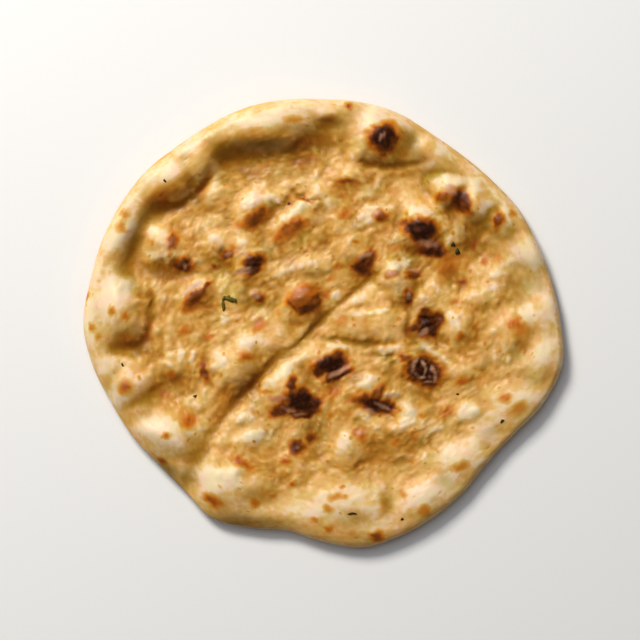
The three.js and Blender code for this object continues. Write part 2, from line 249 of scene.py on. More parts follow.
# Blisters: x, y, half length, half width, bearing, bake (1 is black), height, how far they crumpled.
BLISTERS = (
    # black
    (29.5, 92.5, 7.5, 7, 0, 1.0, 0.6, 0.5),
    (48, 46.5, 8, 6, -20, 1.0, 0.6, 0.3),
    (55, 36.5, 6.6, 3.2, -8, 0.95, 0.9, 0.4),
    (50, -24, 9.2, 7.2, -35, 0.96, 1.2, 1.8),
    (3.5, -20, 9.5, 4.4, 10, 1.0, 0.9, 0.5),
    (8, -25, 7, 1.8, 20, 0.84, 0.7, 0.2),
    (-12, -38.6, 7, 6, 10, 1.0, 0.5, 0.7),
    (-16, -31, 4.6, 2.2, 95, 0.9, 0.3, 0.3),
    (-21, -43.5, 6.5, 3, 25, 0.86, 0.3, 0.6),
    (-12, -46, 5, 2.2, -10, 0.86, 0.3, 0.6),
    (-5, -41, 3.6, 4, -30, 0.95, 0.3, 0.4),
    (26, -40.6, 9.6, 4.2, -14, 0.95, 0.7, 0.6),
    (-3.2, -24.6, 3.6, 2.2, 80, 0.88, 0.2, 0.1),
    (27, -34.5, 4.6, 3, 60, 0.74, 0.3, 0.2),
    (-35.5, 29.5, 5.8, 4.8, 70, 0.97, 1.0, 0.8),
    (52, -0.8, 6.8, 5.2, 60, 0.96, 1.0, 1.1),
    (46, -2.4, 4.2, 1.8, 20, 0.86, 0.1, 0.2),
    (50, 5, 3.2, 2.4, 70, 0.84, 0.2, 0.2),
    (57.6, 1.6, 3, 3.4, 0, 0.8, 0.1, 0.2),
    # dark brown
    (68.5, 60.5, 7.6, 3.8, -62, 0.9, 1.0, 0.3),
    (19.5, 28, 4.4, 4, 40, 0.94, 0.6, 0.4),
    (21.5, 33.6, 4.6, 2.6, 20, 0.78, 1.0, 0.2),
    (42, 13, 3.9, 2.3, 85, 0.88, 0.5, 0.3),
    (-70.5, 29.5, 4.8, 3.4, 0, 0.88, 0.7, 1.2),
    (-48.5, 34, 3, 2.4, 30, 0.82, 0.4, 1.0),
    (-59, 18.5, 3.4, 1.2, 36, 0.84, 0.1, 0.1),
    (-60, -24.5, 5.2, 2.4, 105, 0.8, 0.4, 0.2),
    (-14, -62, 3.8, 3.6, 0, 0.88, 0.4, 0.2),
    # a dark rim round the lower side of the brown dome, partly painted shade
    (-8.8, 7.6, 5.8, 2.3, 8, 0.84, 0.0, 0.1),
    (-3.6, 11.4, 3.6, 1.8, 70, 0.8, 0.0, 0.1),
    (-15.6, 9, 3.8, 1.2, -62, 0.82, 0.0, 0.05),
    (6, -27.2, 6.4, 1.5, 25, 0.9, 0.2, 0.1),
    # brown and shiny
    (-9.7, 11.8, 7.4, 6.4, 0, 0.7, 1.8, 0.05),
    (-9.6, 11.4, 6.2, 6.8, 30, 0.7, 0.0, 0.05),
    (-63.4, 14.4, 7, 2.4, 36, 0.78, 0.8, 0.2),
    (-65.5, 11.4, 5, 2.4, 34, 0.66, 0.1, 0.1),
    (58.5, 63, 3.6, 3.2, 20, 0.72, 0.6, 0.1),
    (86.5, 51.3, 4.8, 3.2, 85, 0.8, 0.5, 0.1),
    (44.5, 24.5, 4.2, 2.1, -10, 0.74, 0.5, 0.3),
    (33.5, 24, 4, 1.8, 5, 0.54, 0.7, 0.2),
    (40, -17, 2.8, 2.2, 0, 0.8, 0.2, 0.1),
    (-32.2, 13, 2.8, 2.5, 0, 0.8, 0.5, 0.1),
    (-75.5, 40.8, 5, 2.6, 78, 0.74, 0.3, 0.1),
    (-34.5, 52.4, 6.6, 3.9, 38, 0.73, 0.2, 0.1),
    (-31, 55, 2.4, 1.4, 60, 0.76, 0.1, 0.1),
    (-17, 47.2, 8, 3.8, 36, 0.68, 0.2, 0.1),
    (-13.5, 49, 3, 1.6, 70, 0.72, 0.1, 0.1),
    (28.5, 53.5, 3.6, 2.8, 30, 0.76, 0.7, 0.1),
    (18, -55.5, 3.8, 3.2, -30, 0.56, 0.6, 0.5),
    (69, -29, 2.8, 2.2, 0, 0.62, 0.3, 0.0),
)

# Painted glints: pale pinkish highlights painted on the blisters' lit sides and curls: x, y, half length,
# half width, bearing, how pale.
PAINTED_GLINTS = (
    (-12, 14.8, 3.4, 2.2, 35, 0.45),
    (-66.5, 17.4, 4.8, 1.8, 35, 0.62),
    (-41.5, 35.5, 3.4, 1.6, -20, 0.6),
    (-40.5, 26, 4.6, 1.3, 15, 0.8),
    (-34.6, 14.6, 1.9, 2, 20, 0.6),
    (20, 33.8, 3.4, 1.3, 15, 0.7),
    (26.6, 55, 2.4, 1.4, 20, 0.6),
    (33.5, 24.8, 3.4, 1.4, 0, 0.7),
    (45, 26.4, 3.6, 1, -8, 0.5),
    (42.4, 13.4, 1, 2, 0, 0.5),
    (63, 66.5, 2.8, 2.2, -60, 0.7),
    (52, 40, 5, 1.2, -6, 0.55),
    (8, -24, 5.2, 1.3, 27, 0.62),
    (-3, -17.6, 2, 0.8, 40, 0.35),
    (49.4, -4.6, 2.4, 1.5, 30, 0.6),
    # painted highlights on the curls of the wrinkled black blister
    (46, -18.6, 2.2, 0.8, 40, 0.65),
    (44.2, -22, 2.4, 0.8, 80, 0.65),
    (46.2, -25.6, 2, 0.7, -45, 0.55),
    (49.6, -20.6, 2.2, 0.9, -65, 0.75),
    (50.6, -24, 2, 0.8, 60, 0.7),
    (48.6, -27, 1.8, 0.7, 10, 0.6),
    (54.6, -23.4, 2.2, 0.9, -55, 0.75),
    (55.6, -27, 2, 0.8, 80, 0.65),
    (52.4, -29, 2.2, 0.8, 15, 0.65),
    # painted glints and streaks on the others
    (28.4, 92.6, 0.9, 2.4, -35, 0.6),
    (-24, -37.6, 4.4, 1.4, 0, 0.6),
    (-18, -43, 3.4, 0.9, -20, 0.45),
    (-12.4, -45.6, 2.8, 0.7, 5, 0.4),
    (34, -35.8, 4, 1.2, 8, 0.7),
    (29, -41.4, 4, 0.9, -30, 0.6),
    (22.6, -44, 3.4, 1, -12, 0.6),
    (-34.5, 0, 4.6, 1.4, 40, 0.25),
    (-70, 29.6, 0.8, 2, 30, 0.4),
    (-47.6, 34.4, 1.6, 1, 30, 0.5),
    (18, -54.6, 2.6, 1.4, 0, 0.6),
)

# Lumps of the middle, with pale tops that are partly paler dough and partly a painted highlight: x, y,
# half length, half width, bearing, height, paleness.
LUMPS = (
    # north-west
    (-54.5, 69, 5, 3.4, 60, 0.3, 0.1),
    (-82, 46, 6.6, 4.2, 30, 0.6, 0.1),
    (-59, 48, 7.6, 3.6, 25, 0.55, 0.12),
    (-56, 42.5, 2.6, 2, 20, 0.39, 0.08),
    (-80, 33.5, 9, 2, 3, 0.39, 0.08),
    (-62, 31, 3, 2.4, 0, 0.33, 0.06),
    (-35, 63, 8.6, 5.4, 30, 0.77, 0.16),
    (-40, 44, 6, 4.4, -20, 0.55, 0.1),
    (-15, 55, 8.6, 3.6, 38, 0.72, 0.14),
    (-22, 49.5, 5, 3, 40, 0.5, 0.1),
    (-7, 70.5, 7, 4, -10, 0.55, 0.12),
    (-27, 30, 1.9, 1.9, 0, 0.33, 0.12),
    (-9, 29.6, 13, 4.6, 12, 0.35, 0.04),
    (43, 33, 6, 2.5, -10, 0.4, 0.18),
    (49, -12, 7, 3, -20, 0.5, 0.14),
    (-3, 53, 4.4, 3.2, 70, 0.5, 0.1),
    (-20, 25.5, 6, 2, 25, 0.33, 0.06),
    # north and north-east
    (4, 60.5, 5.6, 3.2, 30, 0.5, 0.12),
    (24, 67.5, 8.6, 3.4, 38, 0.61, 0.12),
    (39, 70, 7, 3, 0, 0.39, 0.08),
    (20, 54, 6, 4.6, 45, 0.61, 0.12),
    (28, 58, 7, 1.8, 0, 0.33, 0.1),
    (42.5, 61.5, 7.4, 4.2, -62, 0.61, 0.12),
    (14, 48, 5, 3, 25, 0.5, 0.1),
    (35, 41.5, 6, 3, 18, 0.5, 0.1),
    (37, 29, 7, 3, 12, 0.5, 0.12),
    (53, 54.5, 8, 2.6, -26, 0.55, 0.13),
    (65, 71.5, 12, 3.4, -5, 0.44, 0.08),
    (61.5, 42, 3.6, 2.8, -10, 0.61, 0.14),
    (77, 28, 6, 4, 20, 0.5, 0.12),
    (82, 43, 4.4, 3.6, 0, 0.44, 0.08),
    (86, 21, 7, 5.5, 0, 0.5, 0.13),
    # west and middle
    (-66.5, 17.6, 7.4, 3, 35, 0.72, 0.1),
    (-83, 16, 6.6, 3, -65, 0.44, 0.1),
    (-50, 1.5, 4.2, 2.8, 60, 0.5, 0.14),
    (-65, -7, 3, 2.6, 0, 0.39, 0.1),
    (-78, -13, 6.6, 1.8, 85, 0.39, 0.1),
    (-72, -15, 5.6, 1.8, 80, 0.39, 0.1),
    (-65, -18, 5.4, 2, 88, 0.44, 0.12),
    (-52, -17, 7.6, 4.4, 70, 0.61, 0.12),
    (-33.5, 14, 4.8, 4, 0, 0.66, 0.1),
    (-32, 4.5, 6.4, 3, 18, 0.5, 0.13),
    (-38, -9, 9.4, 3.4, 6, 0.55, 0.14),
    (-22, 0, 4, 5, 0, 0.33, 0.06),
    (6, 14, 3.4, 2.8, 60, 0.5, 0.13),
    (22, 16.5, 8.6, 3.6, 34, 0.55, 0.12),
    (14, 10.5, 4, 2.6, 30, 0.39, 0.1),
    (22, 5.5, 10, 2, 4, 0.39, 0.12),
    (60, 16.5, 6, 4, 10, 0.44, 0.08),
    (63.5, 3, 7.4, 2.8, -52, 0.61, 0.14),
    # the bank of the crease, and south-east of it
    (-14, -9.5, 12, 3.2, 43, 1.3, 0.08),
    (6, 8, 9, 3, 42, 0.4, 0.06),
    (-17, -21.5, 9, 4, 40, 0.55, 0.15),
    (-27, -28.5, 6, 2.8, 30, 0.44, 0.12),
    (-1, -8.5, 4.4, 2, 10, 0.39, 0.1),
    (7, -11, 6.4, 1.8, -8, 0.39, 0.12),
    (31, -13.4, 8.4, 2.2, 6, 0.44, 0.12),
    (29, -20, 4, 3.4, 0, 0.39, 0.08),
    (57.5, -16.5, 7, 2, -28, 0.5, 0.14),
    (82, -13, 5, 6, 0, 0.39, 0.06),
    (22, -29, 6.4, 3, 22, 0.55, 0.14),
    (34, -35.6, 4.6, 2, 8, 0.55, 0.1),
    (41, -44, 7.4, 4.2, 78, 0.61, 0.13),
    (37, -52, 4.6, 3, 30, 0.44, 0.1),
    (20, -46, 4.8, 3, -15, 0.44, 0.13),
    (10, -58, 5, 4, 20, 0.55, 0.13),
    (-38, -48, 6.8, 3, -8, 0.5, 0.14),
    (-37, -56.5, 7, 3.4, 10, 0.39, 0.08),
    (-51, -56, 4, 7, 0, 0.39, 0.1),
    (-3, -49, 3.4, 3, 0, 0.44, 0.12),
    (-8, -71.5, 6.4, 3, 5, 0.44, 0.12),
    (-66, -40.5, 4.8, 3, -20, 0.5, 0.12),
    (62, -34, 5, 4, 20, 0.44, 0.08),
    (72, -44.5, 6.6, 4, 36, 0.66, 0.15),
    (60, -40.5, 4, 2, 20, 0.39, 0.08),
    (42, -66.5, 5, 1.8, 0, 0.33, 0.1),
    (50, -67, 5.6, 4, 20, 0.44, 0.1),
)

# Broad patches that baked more, or less, than the rest, many of them painted shade (darker) or painted
# light (paler): x, y, half length, half width, bearing, change.
BAKE_AND_SHADING_WASHES = (
    (-32, 93.5, 22, 5, 8, 0.24),
    (2, 102, 7, 5, 0, 0.16),
    (-28, 76.5, 20, 5, 10, 0.12),
    (-30, 82.5, 14, 2, 6, -0.1),
    (-78, 66, 12, 6, 30, 0.34),
    (-61, 84.5, 9, 5, 45, 0.24),
    (-60, 64, 4, 9, -20, 0.1),
    (10, 77, 12, 4, 0, 0.08),
    (76, 62, 5, 5, 0, 0.2),
    (35, 46, 12, 4, -15, 0.06),
    (-102, -30, 8, 7, 0, 0.12),
    (-55, -90, 10, 7, -20, 0.12),
    (10, -106, 20, 3, 0, 0.12),
    (14, -27, 9, 4, 30, 0.08),
    (3, -36, 6, 5, 0, 0.17),
    (40, -10, 4, 8, 20, 0.06),
    (30, 0, 12, 5, 0, 0.06),
    (62, 30, 8, 5, 20, 0.1),
    (82, -48, 12, 6, 38, -0.12),
    (-76, 23, 10, 3.5, 0, 0.08),
    (10, 38, 7, 4, 0, 0.08),
    (52, 73, 9, 4, 0, -0.08),
    (-30, -79, 12, 5, 0, -0.08),
    (-62, -55, 5, 6, 40, -0.08),
    (13, 104, 6, 5, 0, 0.1),
    (88, 49, 4, 6, 0, 0.08),
    (20, -66, 14, 6, -10, 0.03),
    (100, 26, 6, 5, 0, 0.08),
    (107, 19, 7, 6, 0, -0.16),
    (112, -6, 5, 12, 0, -0.1),
    (105, -37, 8, 5, 0, -0.1),
    (62, -50, 14, 7, 20, -0.11),
    (90, -20, 11, 13, 0, -0.09),
    (42, -72, 9, 5, 0, -0.06),
    (-97, 19, 9, 8, 0, -0.16),
    (-95, 46, 4, 8, -25, -0.14),
    (-76, 37, 12, 3, 0, 0.08),
    (-7, 21.5, 10, 3.6, 10, -0.16),
    (-25, 60, 7, 4, 30, -0.22),
    (-28, 37, 6, 5, 0, -0.17),
    (-31, -57, 9, 5, 10, -0.15),
    (16, -85, 20, 6, 2, -0.12),
    (-8, -78.5, 13, 3, 14, 0.07),
    (12, -72, 13, 3.4, 0, 0.1),
    (30, -90, 3, 6, 0, 0.1),
    (82, 58, 5, 5, 0, -0.12),
    (84, -14, 7, 8, 0, -0.05),
    (60, -80, 9, 6, 40, -0.1),
    (30, -100, 9, 4, 0, -0.08),
    (-52, -30, 5, 5, 0, -0.1),
    (-39, 13, 5, 4, 0, -0.1),
    (-21, 14, 3, 5, 0, -0.12),
    (99, 8, 7, 4, -20, -0.12),
    (95, -9, 8, 4, 0, 0.1),
    (-97, -8, 6, 5, 0, 0.1),
    (20, 49, 8, 5, 30, -0.14),
    (43, 30, 8, 4, 0, -0.14),
    (32, -17, 8, 4.6, 0, -0.16),
    (-10, -26, 8, 4, 30, -0.1),
    (-2, -58, 6, 8, 0, -0.18),
    (-9, -33, 6, 3, 0, -0.1),
    (46, -86, 9, 5, 40, -0.08),
    (50, -10.5, 8, 3, -20, -0.14),
    (-99, 49, 5, 9, 70, -0.06),
    (-46, -77, 11, 6, 0, -0.1),
    (66, -62, 13, 5, 22, -0.1),
    (66, -80, 17, 9, 42, -0.13),
    (9, -88, 27, 11, 3, -0.13),
    (-53, -75, 14, 8, 10, -0.14),
    (-81, -49, 10, 5, -15, -0.1),
    (-103, 20, 8, 6, 0, -0.08),
    (-30, 38, 5, 6, 0, -0.05),
    (50, 73, 6, 4, 0, -0.05),
    (-47, 16, 10, 11, 0, -0.1),
    (-12, 24, 12, 3, 10, -0.06),
    (-97, 16, 5, 5, 0, -0.06),
    (-64, -54, 6, 6, 0, -0.14),
    (-43, -80, 7, 4, 0, -0.07),
    (-28, -56, 8, 4, 0, -0.08),
    (84, -57, 5, 7, 40, -0.16),
    (96, -14, 6, 5, 0, -0.12),
    (46, -88, 7, 4, 40, -0.09),
    (9, -98, 10, 4, 0, -0.07),
    (-14, 96, 8, 3, 0, -0.14),
    (-45, 91, 6, 4, 0, -0.1),
    (-68, 72, 5, 4, 30, -0.08),
    (0, 54, 5, 4, 0, -0.06),
    (51, 86, 6, 6, -40, 0.28),
    (-11, 80, 8, 3, 0, 0.14),
    (-88, 41, 4, 6, 60, 0.08),
    (108, 9, 4, 5, 0, 0.16),
    (42, -13, 3, 4, 0, 0.14),
    (-99, -29, 5, 4, 0, 0.16),
    (-75, -71, 5, 4, -40, 0.18),
    (-14, -66, 6, 4, 0, 0.14),
    (80, 62, 5, 5, 0, 0.08),
    (23, -88, 4, 4, 0, 0.07),
    (30, -105, 6, 3, 0, 0.1),
    (-12, 62, 6, 3, 0, 0.06),
    (-13, 91, 9, 4, 0, 0.14),
    (-58, 77, 4, 6, -20, 0.12),
    (-81, 78, 15, 6, 42, 0.13),
    (-42, 103, 27, 6, 15, 0.11),
    (-103, 52, 5, 12, -25, 0.08),
    (0, 109, 6, 3, 0, -0.08),
    (-117, 0, 4, 9, 0, -0.12),
    (-109, -24, 5, 6, 0, -0.12),
    (110, 15, 4, 6, 0, -0.06),
    (60, 80, 7, 4, -38, 0.15),
    (100, 40, 5, 7, -20, 0.06),
    (70, -78, 9, 4, 42, 0.1),
    (0, -101, 14, 4, 0, 0.12),
    (113, -20, 4, 8, 0, 0.06),
    (-52, 27, 5, 4, 0, -0.12),
    (-30, 10, 10, 3, 0, -0.08),
    (101, 17, 6, 3, -20, -0.08),
    (-98, 45, 3, 5, -20, -0.08),
    (6, 83, 4, 6, 0, -0.08),
    (51, 70, 5, 4, 0, -0.07),
    (38, 75, 6, 3, 0, 0.08),
    (-89, -6, 3, 8, -20, 0.09),
    (84, -47, 10, 3, 38, 0.09),
    (-68, 20, 5, 3, 35, 0.1),
)

# Painted shadows: patches darkened as painted shade where the rolls, puffs and edges cast shadow: x, y,
# half length, half width, bearing, how far.
PAINTED_SHADOWS = (
    (-31, 89, 15, 3.9, 6, 1.0),
    (-9, 88.5, 11, 3.6, -4, 0.5),
    (-26, 77, 24, 5, 8, 0.3),
    (4, 100, 7, 3.4, 0, 0.4),
    (44, 89, 10, 4.5, -60, 0.6),
    (32, 80, 16, 3, 0, 0.3),
    (-64, 61, 7, 3.6, 20, 0.5),
    (-93, 41, 9, 4, 62, 0.15),
    (-81, 24, 9, 4, 0, 0.4),
    (-91, -11, 6, 4, 0, 0.6),
    (-103, -31, 7, 6, 0, 0.3),
    (-77, -26, 5, 4, 0, 0.4),
    (-79, -73, 9, 5, -45, 1.0),
    (-41, -99.5, 21, 4.6, -5, 0.9),
    (-34, -87, 9, 4, 0, 0.3),
    (-70, -77, 4, 8, -30, 0.4),
    (-40, -33, 9, 4, 45, 0.4),
    (10, -72, 16, 2.6, -10, 0.2),
    (77, 62, 6, 4, -60, 0.15),
    (74, 42, 6, 7, 0, 0.3),
    (98, 29, 9, 3, 0, 0.4),
    (-61, 84.5, 8, 5, 45, 0.15),
    (-80, 37, 13, 3.4, 0, 0.5),
    (49, 8, 6, 4, 0, 0.5),
    (-17, 30, 5, 4, 0, 0.35),
    (-11, 81, 10, 3, 10, 0.5),
    (66, 50, 4, 4, 0, 0.4),
    (-35, -39, 5, 4, 30, 0.4),
    (-90, -10, 5, 5, 0, 0.4),
    (82, -56, 7, 4, 38, 0.3),
    (72, -32, 5, 4, 0, 0.3),
    (-4, 62, 6, 3, 10, 0.3),
    (15, -28, 6, 4, 20, 0.5),
    (15, 105, 8, 5, 0, 0.25),
    (20, -107, 10, 3, 0, 0.4),
    (34, 2, 3, 9, 0, 0.2),
    (-28, 73, 12, 4, 15, 0.25),
)

# Where herbs tinged the butter green, and, in the trough under the north roll, a greenish painted shade:
# x, y, half length, half width, bearing, how far.
STAINS_AND_SHADE = (
    (-50, 23.5, 8, 4, -12, 0.7),
    (-47, 13, 7, 6, 0, 0.5),
    (-53, 30, 4, 3, 0, 0.4),
    (64, 38, 5, 4, 0, 0.4),
    (33, 33, 5, 3, 0, 0.3),
    (-9, 41, 6, 3, 0, 0.3),
    # in the trough under the north roll and beside the north-west lobe: greenish painted shade
    (-30, 76, 23, 6, 8, 0.4),
    (-52, 68, 8, 6, 30, 0.25),
    (-9, 84, 9, 4, 10, 0.3),
)

# Puffs of the middle whose skin stayed smooth: x, y, half length, half width, bearing.
SMOOTH_SKINS = (
    (16, -1.5, 19, 8, -4),
    (36, -3, 8, 10, 10),
    (-31, -7, 11, 9, 40),
    (-41, -19, 10, 8, 45),
    (-22, -31, 15, 6, 40),
    (-5, -14, 11, 5, 38),
    (24, 18, 12, 5, 38),
    (-78, 40, 10, 8, 0),
    (46, 62, 14, 7, -10),
    (14, -62, 9, 7, 0),
    (28, -68, 18, 6, -12),
    (8, -90, 28, 12, 0),
)

# Toasted spots, flat on the crust: x, y, half length, half width, bearing, bake.
SPOTS = (
    # on the rim, anticlockwise from the north
    (12, 108, 2.2, 2, 0, 0.78),
    (-15, 101, 4.5, 2, 0, 0.48),
    (-99.5, 54, 2, 2.4, 0, 0.48),
    (-101, 47.5, 2.4, 3.4, 0, 0.5),
    (-118, 13, 1.5, 2, 0, 0.52),
    (-105, 6, 2, 1.8, 0, 0.58),
    (-98.5, 4, 2.1, 1.9, 0, 0.62),
    (-115.5, -2.5, 1.8, 2.4, 0, 0.56),
    (-112, -6.5, 2, 1.6, 0, 0.5),
    (-98.5, -32, 3.4, 3.4, 0, 0.68),
    (-67.5, -49, 3.8, 4, 0, 0.64),
    (-78.5, -56, 2.2, 2, 0, 0.62),
    (-79, -35.5, 2, 1.8, 0, 0.5),
    (-80.5, -69, 3, 1.5, -30, 0.66),
    (-41.5, -69.5, 5.8, 2.6, -35, 0.68),
    (-55.5, -88.5, 5, 2.8, -35, 0.7),
    (-34.5, -89.5, 2.6, 2.4, 0, 0.6),
    (-25.5, -86, 2, 1.8, 0, 0.5),
    (6.5, -86.5, 5, 2, 5, 0.48),
    (1.5, -92.5, 2.2, 1.8, 0, 0.52),
    (-4.5, -98, 1.8, 1.5, 0, 0.52),
    (2.5, -102.5, 2, 1.8, 0, 0.62),
    (26, -106.5, 3.2, 2.7, 0, 0.76),
    (50.5, -94, 4, 2.8, 20, 0.54),
    (39.5, -85.5, 1.7, 1.5, 0, 0.52),
    (68, -71.5, 4, 2.8, 20, 0.52),
    (90.5, -37.5, 2.6, 2.4, 0, 0.6),
    # painted shade rather than a toasted spot
    (97, -42.5, 5, 3, 30, 0.48),
    (95, 0, 4.6, 2.8, -5, 0.62),
    (98, -4, 4.4, 3, 0, 0.54),
    (94, 54.5, 1.8, 1.8, 0, 0.56),
    # in the middle, from the north-west
    (-7, 83.5, 6, 2, -20, 0.5),
    (10.5, 71, 4.4, 1.6, 0, 0.76),
    # painted shadow of a crease under a bump
    (-9, 61.5, 4, 1.1, -15, 0.74),
    (-17, 59.5, 1.4, 1.2, 0, 0.7),
    (-55, 28.4, 2, 1.3, 0, 0.74),
    (-42, 49, 4, 2, 30, 0.48),
    (-23, 45, 4, 1.8, 20, 0.5),
    (-45, 37, 3, 1.6, -40, 0.52),
    (10.5, 54.5, 3.8, 2.8, 20, 0.58),
    (10, 63.5, 2.2, 1.6, 0, 0.5),
    (41, 54.5, 1.4, 1.4, 0, 0.6),
    (16, 40.5, 1.6, 1.4, 0, 0.6),
    (7, 28.5, 2.4, 1.6, 0, 0.56),
    (3, 22, 3, 1.6, 40, 0.52),
    (1, 14, 2, 3, 0, 0.56),
    (36, 38, 3, 1.6, 30, 0.5),
    (62, 29, 4.5, 6, -20, 0.54),
    (75, 39, 2, 2.4, 0, 0.62),
    (80.5, 30.5, 2, 1.8, 0, 0.62),
    (87, 32.5, 2, 1.8, 0, 0.5),
    (69.5, 20, 2.2, 1.4, -20, 0.72),
    (66, 10.5, 3, 1, 0, 0.56),
    (35, -2, 1.2, 1, 0, 0.6),
    (8, 1, 4, 2, 20, 0.48),
    (68, -7, 2.8, 2.4, 0, 0.68),
    (-68, 7.4, 3.2, 2.8, 0, 0.62),
    (-70, -4, 3.4, 2.4, 30, 0.6),
    (-57.5, -7, 2.8, 1.8, 0, 0.6),
    (-39, -17, 4, 2.6, 0, 0.66),
    (-33, -2, 5, 2.2, 40, 0.58),
    (-76, -26, 3.4, 3, 0, 0.6),
    (-80, -36, 3, 2, 0, 0.5),
    (-48, -36, 7, 5, 50, 0.46),
    (16, -38.5, 4.4, 1.8, 0, 0.66),
    (61.5, -45, 4.2, 2.8, 50, 0.56),
    (48.5, -46, 1.6, 1.4, 0, 0.54),
    (45, -56, 3, 3, 0, 0.48),
    (-24, -38, 4, 1.6, -10, 0.58),
    (-29, -34.5, 4, 1.2, 0, 0.52),
    (-19.5, -69, 3.2, 2.4, 0, 0.62),
    (-6.5, -57.5, 2.8, 2.4, 0, 0.82),
    (-15.5, -80, 1.8, 1.4, 30, 0.72),
    # painted shade in a hollow rather than a toasted spot
    (35.5, -60, 2.2, 3, 60, 0.54),
    (5, -35, 3, 3, 0, 0.56),
    (3, -46, 2.4, 2, 0, 0.54),
)

# Torn coriander: middle x and y, length, width, bearing. The same flecks are part of the solid.
LEAVES = {"leaf_blade": (-47, 12, 6.6, 2.6, 4), "leaf_stalk": (-50.4, 9, 6.4, 1.8, 84)}
LEAF_LOBES = ((-44.6, 11.2, 2.4, 1.5, -60), (-50, 12.4, 2.8, 1.7, 30), (-47.6, 13, 2, 1.3, 100))
SEEDS = {"seed_upper": (64.5, 39, 2.6, 2.4, 0), "seed_lower": (67, 36, 3.2, 2.8, -40)}
FLECK_THICKNESS = 1.1  # from a fleck's middle to its top
FLECK_PROUD = 0.45  # the share of a fleck that stands out of the crust
FLECK_TAPER = 0.45
FLECK_BLUNT_END = 0.4  # the taper of the blunt end, as a share of the other's
FLECK_BEND = (0.22, 2.2)  # how far, as a share of the width, and how fast along the length

# Specks of char and seed, finer than the solid holds: x, y, length, width, bearing.
SPECKS = (
    (14, -95, 5, 1.3, 0),
    (-79, 70.5, 1.7, 1.5, 0),
    (-64.5, -36.5, 2.2, 1.6, 20),
    (-100.5, -21, 2.4, 1.2, 90),
    (89, -49, 2.6, 1.6, 20),
    (67, -35.5, 1.8, 1.2, 30),
    (39, -98, 1.8, 1.4, 0),
    (-17.5, 59.5, 1.5, 1.3, 0),
)
SPECK_THICKNESS = 0.5


def radians(degrees):
    return degrees * math.pi / 180


def smooth_step(t):
    c = np.clip(t, 0, 1)
    return c * c * (3 - 2 * c)


def ease(value, start, width):
    """From 0 at the start to 1 a width further, along a smooth curve. A width under 0 runs back."""
    return smooth_step((value - start) / width)


def blend(low, high, share):
    return low + (high - low) * share


def raised(level, peak, share):
    """A level moved some of the way to a peak, but never down."""
    return np.maximum(level, blend(level, peak, share))


def around(values, bearing):
    """A value from a list that runs evenly round the loaf, joined by smooth curves."""
    values = np.asarray(values, float)
    turns = bearing / (2 * math.pi)
    place = (turns - np.floor(turns)) * len(values)
    i = np.floor(place).astype(int)
    f = place - i
    a, b, c, d = (values[(i + k) % len(values)] for k in (-1, 0, 1, 2))
    return b + 0.5 * f * (c - a + f * (2 * a - 5 * b + 4 * c - d + f * (3 * (b - c) + d - a)))


def swell(a, b, softness):
    """The higher of two surfaces, with the valley between them rounded."""
    h = np.maximum(softness - np.abs(a - b), 0) / softness
    return np.maximum(a, b) + h * h * softness / 4


def blob(x, y, row, unevenness=1.0):
    """Squared distance from the middle of an uneven ellipse, about 1 on its outline."""
    cx, cy, half_length, half_width, bearing = row[:5]
    c, s = math.cos(radians(bearing)), math.sin(radians(bearing))
    along = ((x - cx) * c + (y - cy) * s) / half_length
    across = ((y - cy) * c - (x - cx) * s) / half_width
    turn = np.arctan2(across, along)
    phase = LOBE_TURN[0] * cx + LOBE_TURN[1] * cy
    lobes = sum(size * np.sin(count * turn + shift * phase) for count, size, shift in LOBES)
    return (along * along + across * across) * (1 + unevenness * lobes)


def dome(q):
    return np.where(q < 1, np.maximum(1 - q, 0) ** DOME_FULLNESS, DOME_FALL * (1 - q))


def bell(q, reach=BELL_REACH):
    return np.maximum(1 - q / reach, 0) ** 2


def rim_top(inset, bearing):
    crest_inset = around(RIM_INSET, bearing)
    reach = np.where(inset > crest_inset, around(RIM_SLOPE, bearing), crest_inset * RIM_FULLNESS)
    foot = FLOOR_THICKNESS - RIM_FOOT
    return foot + (around(RIM_CREST, bearing) - foot) * dome(((inset - crest_inset) / reach) ** 2)


def waves(x, y):
    along = (x + y) * math.sqrt(0.5)
    across = (y - x) * math.sqrt(0.5)
    shift = WAVE_SWAY_BY * np.sin(along / WAVE_SWAY)
    return WAVE_HEIGHT * np.sin(across / WAVE_ACROSS + shift) * np.cos(along / WAVE_ALONG + WAVE_PHASE)


def fold(x, y, path, depths, half_widths):
    """How deep a fold is at a place, by the nearest point of its path."""
    nearest = np.full(x.shape, np.inf)
    share = np.zeros(x.shape)
    spans = len(path) - 1
    for i, ((ax, ay), (bx, by)) in enumerate(zip(path, path[1:])):
        dx, dy = bx - ax, by - ay
        t = np.clip(((x - ax) * dx + (y - ay) * dy) / (dx * dx + dy * dy), 0, 1)
        distance = np.hypot(x - ax - t * dx, y - ay - t * dy)
        share = np.where(distance < nearest, (i + t) / spans, share)
        nearest = np.minimum(distance, nearest)
    fade = smooth_step(share / FOLD_FADE) * smooth_step((1 - share) / FOLD_FADE)
    return fade * blend(*depths, share) * np.exp(-((nearest / blend(*half_widths, share)) ** 2))


def top_crust(x, y, inset, bearing):
    """The top crust over the table, before its edge is rounded off."""
    in_middle = ease(inset, around(RIM_INSET, bearing), WAVE_REACH)
    z = FLOOR_THICKNESS + waves(x, y) * in_middle
    z = swell(z, rim_top(inset, bearing), RIM_BLEND)
    foot = FLOOR_THICKNESS - PUFF_FOOT
    for puff in PUFFS.values():
        z = swell(z, foot + (puff[5] - foot) * dome(blob(x, y, puff)), puff[6])
    for bump in BUMPS:
        z += bump[5] * bell(blob(x, y, bump))
    for hollow in HOLLOWS:
        z -= hollow[5] * np.exp(-blob(x, y, hollow, HOLLOW_UNEVENNESS))
    for path, depths, half_widths in FOLDS.values():
        z -= fold(x, y, path, depths, half_widths)
    return z


def underside(inset, bearing):
    return around(CURL_LIFT, bearing) * smooth_step(1 - inset / CURL_START)


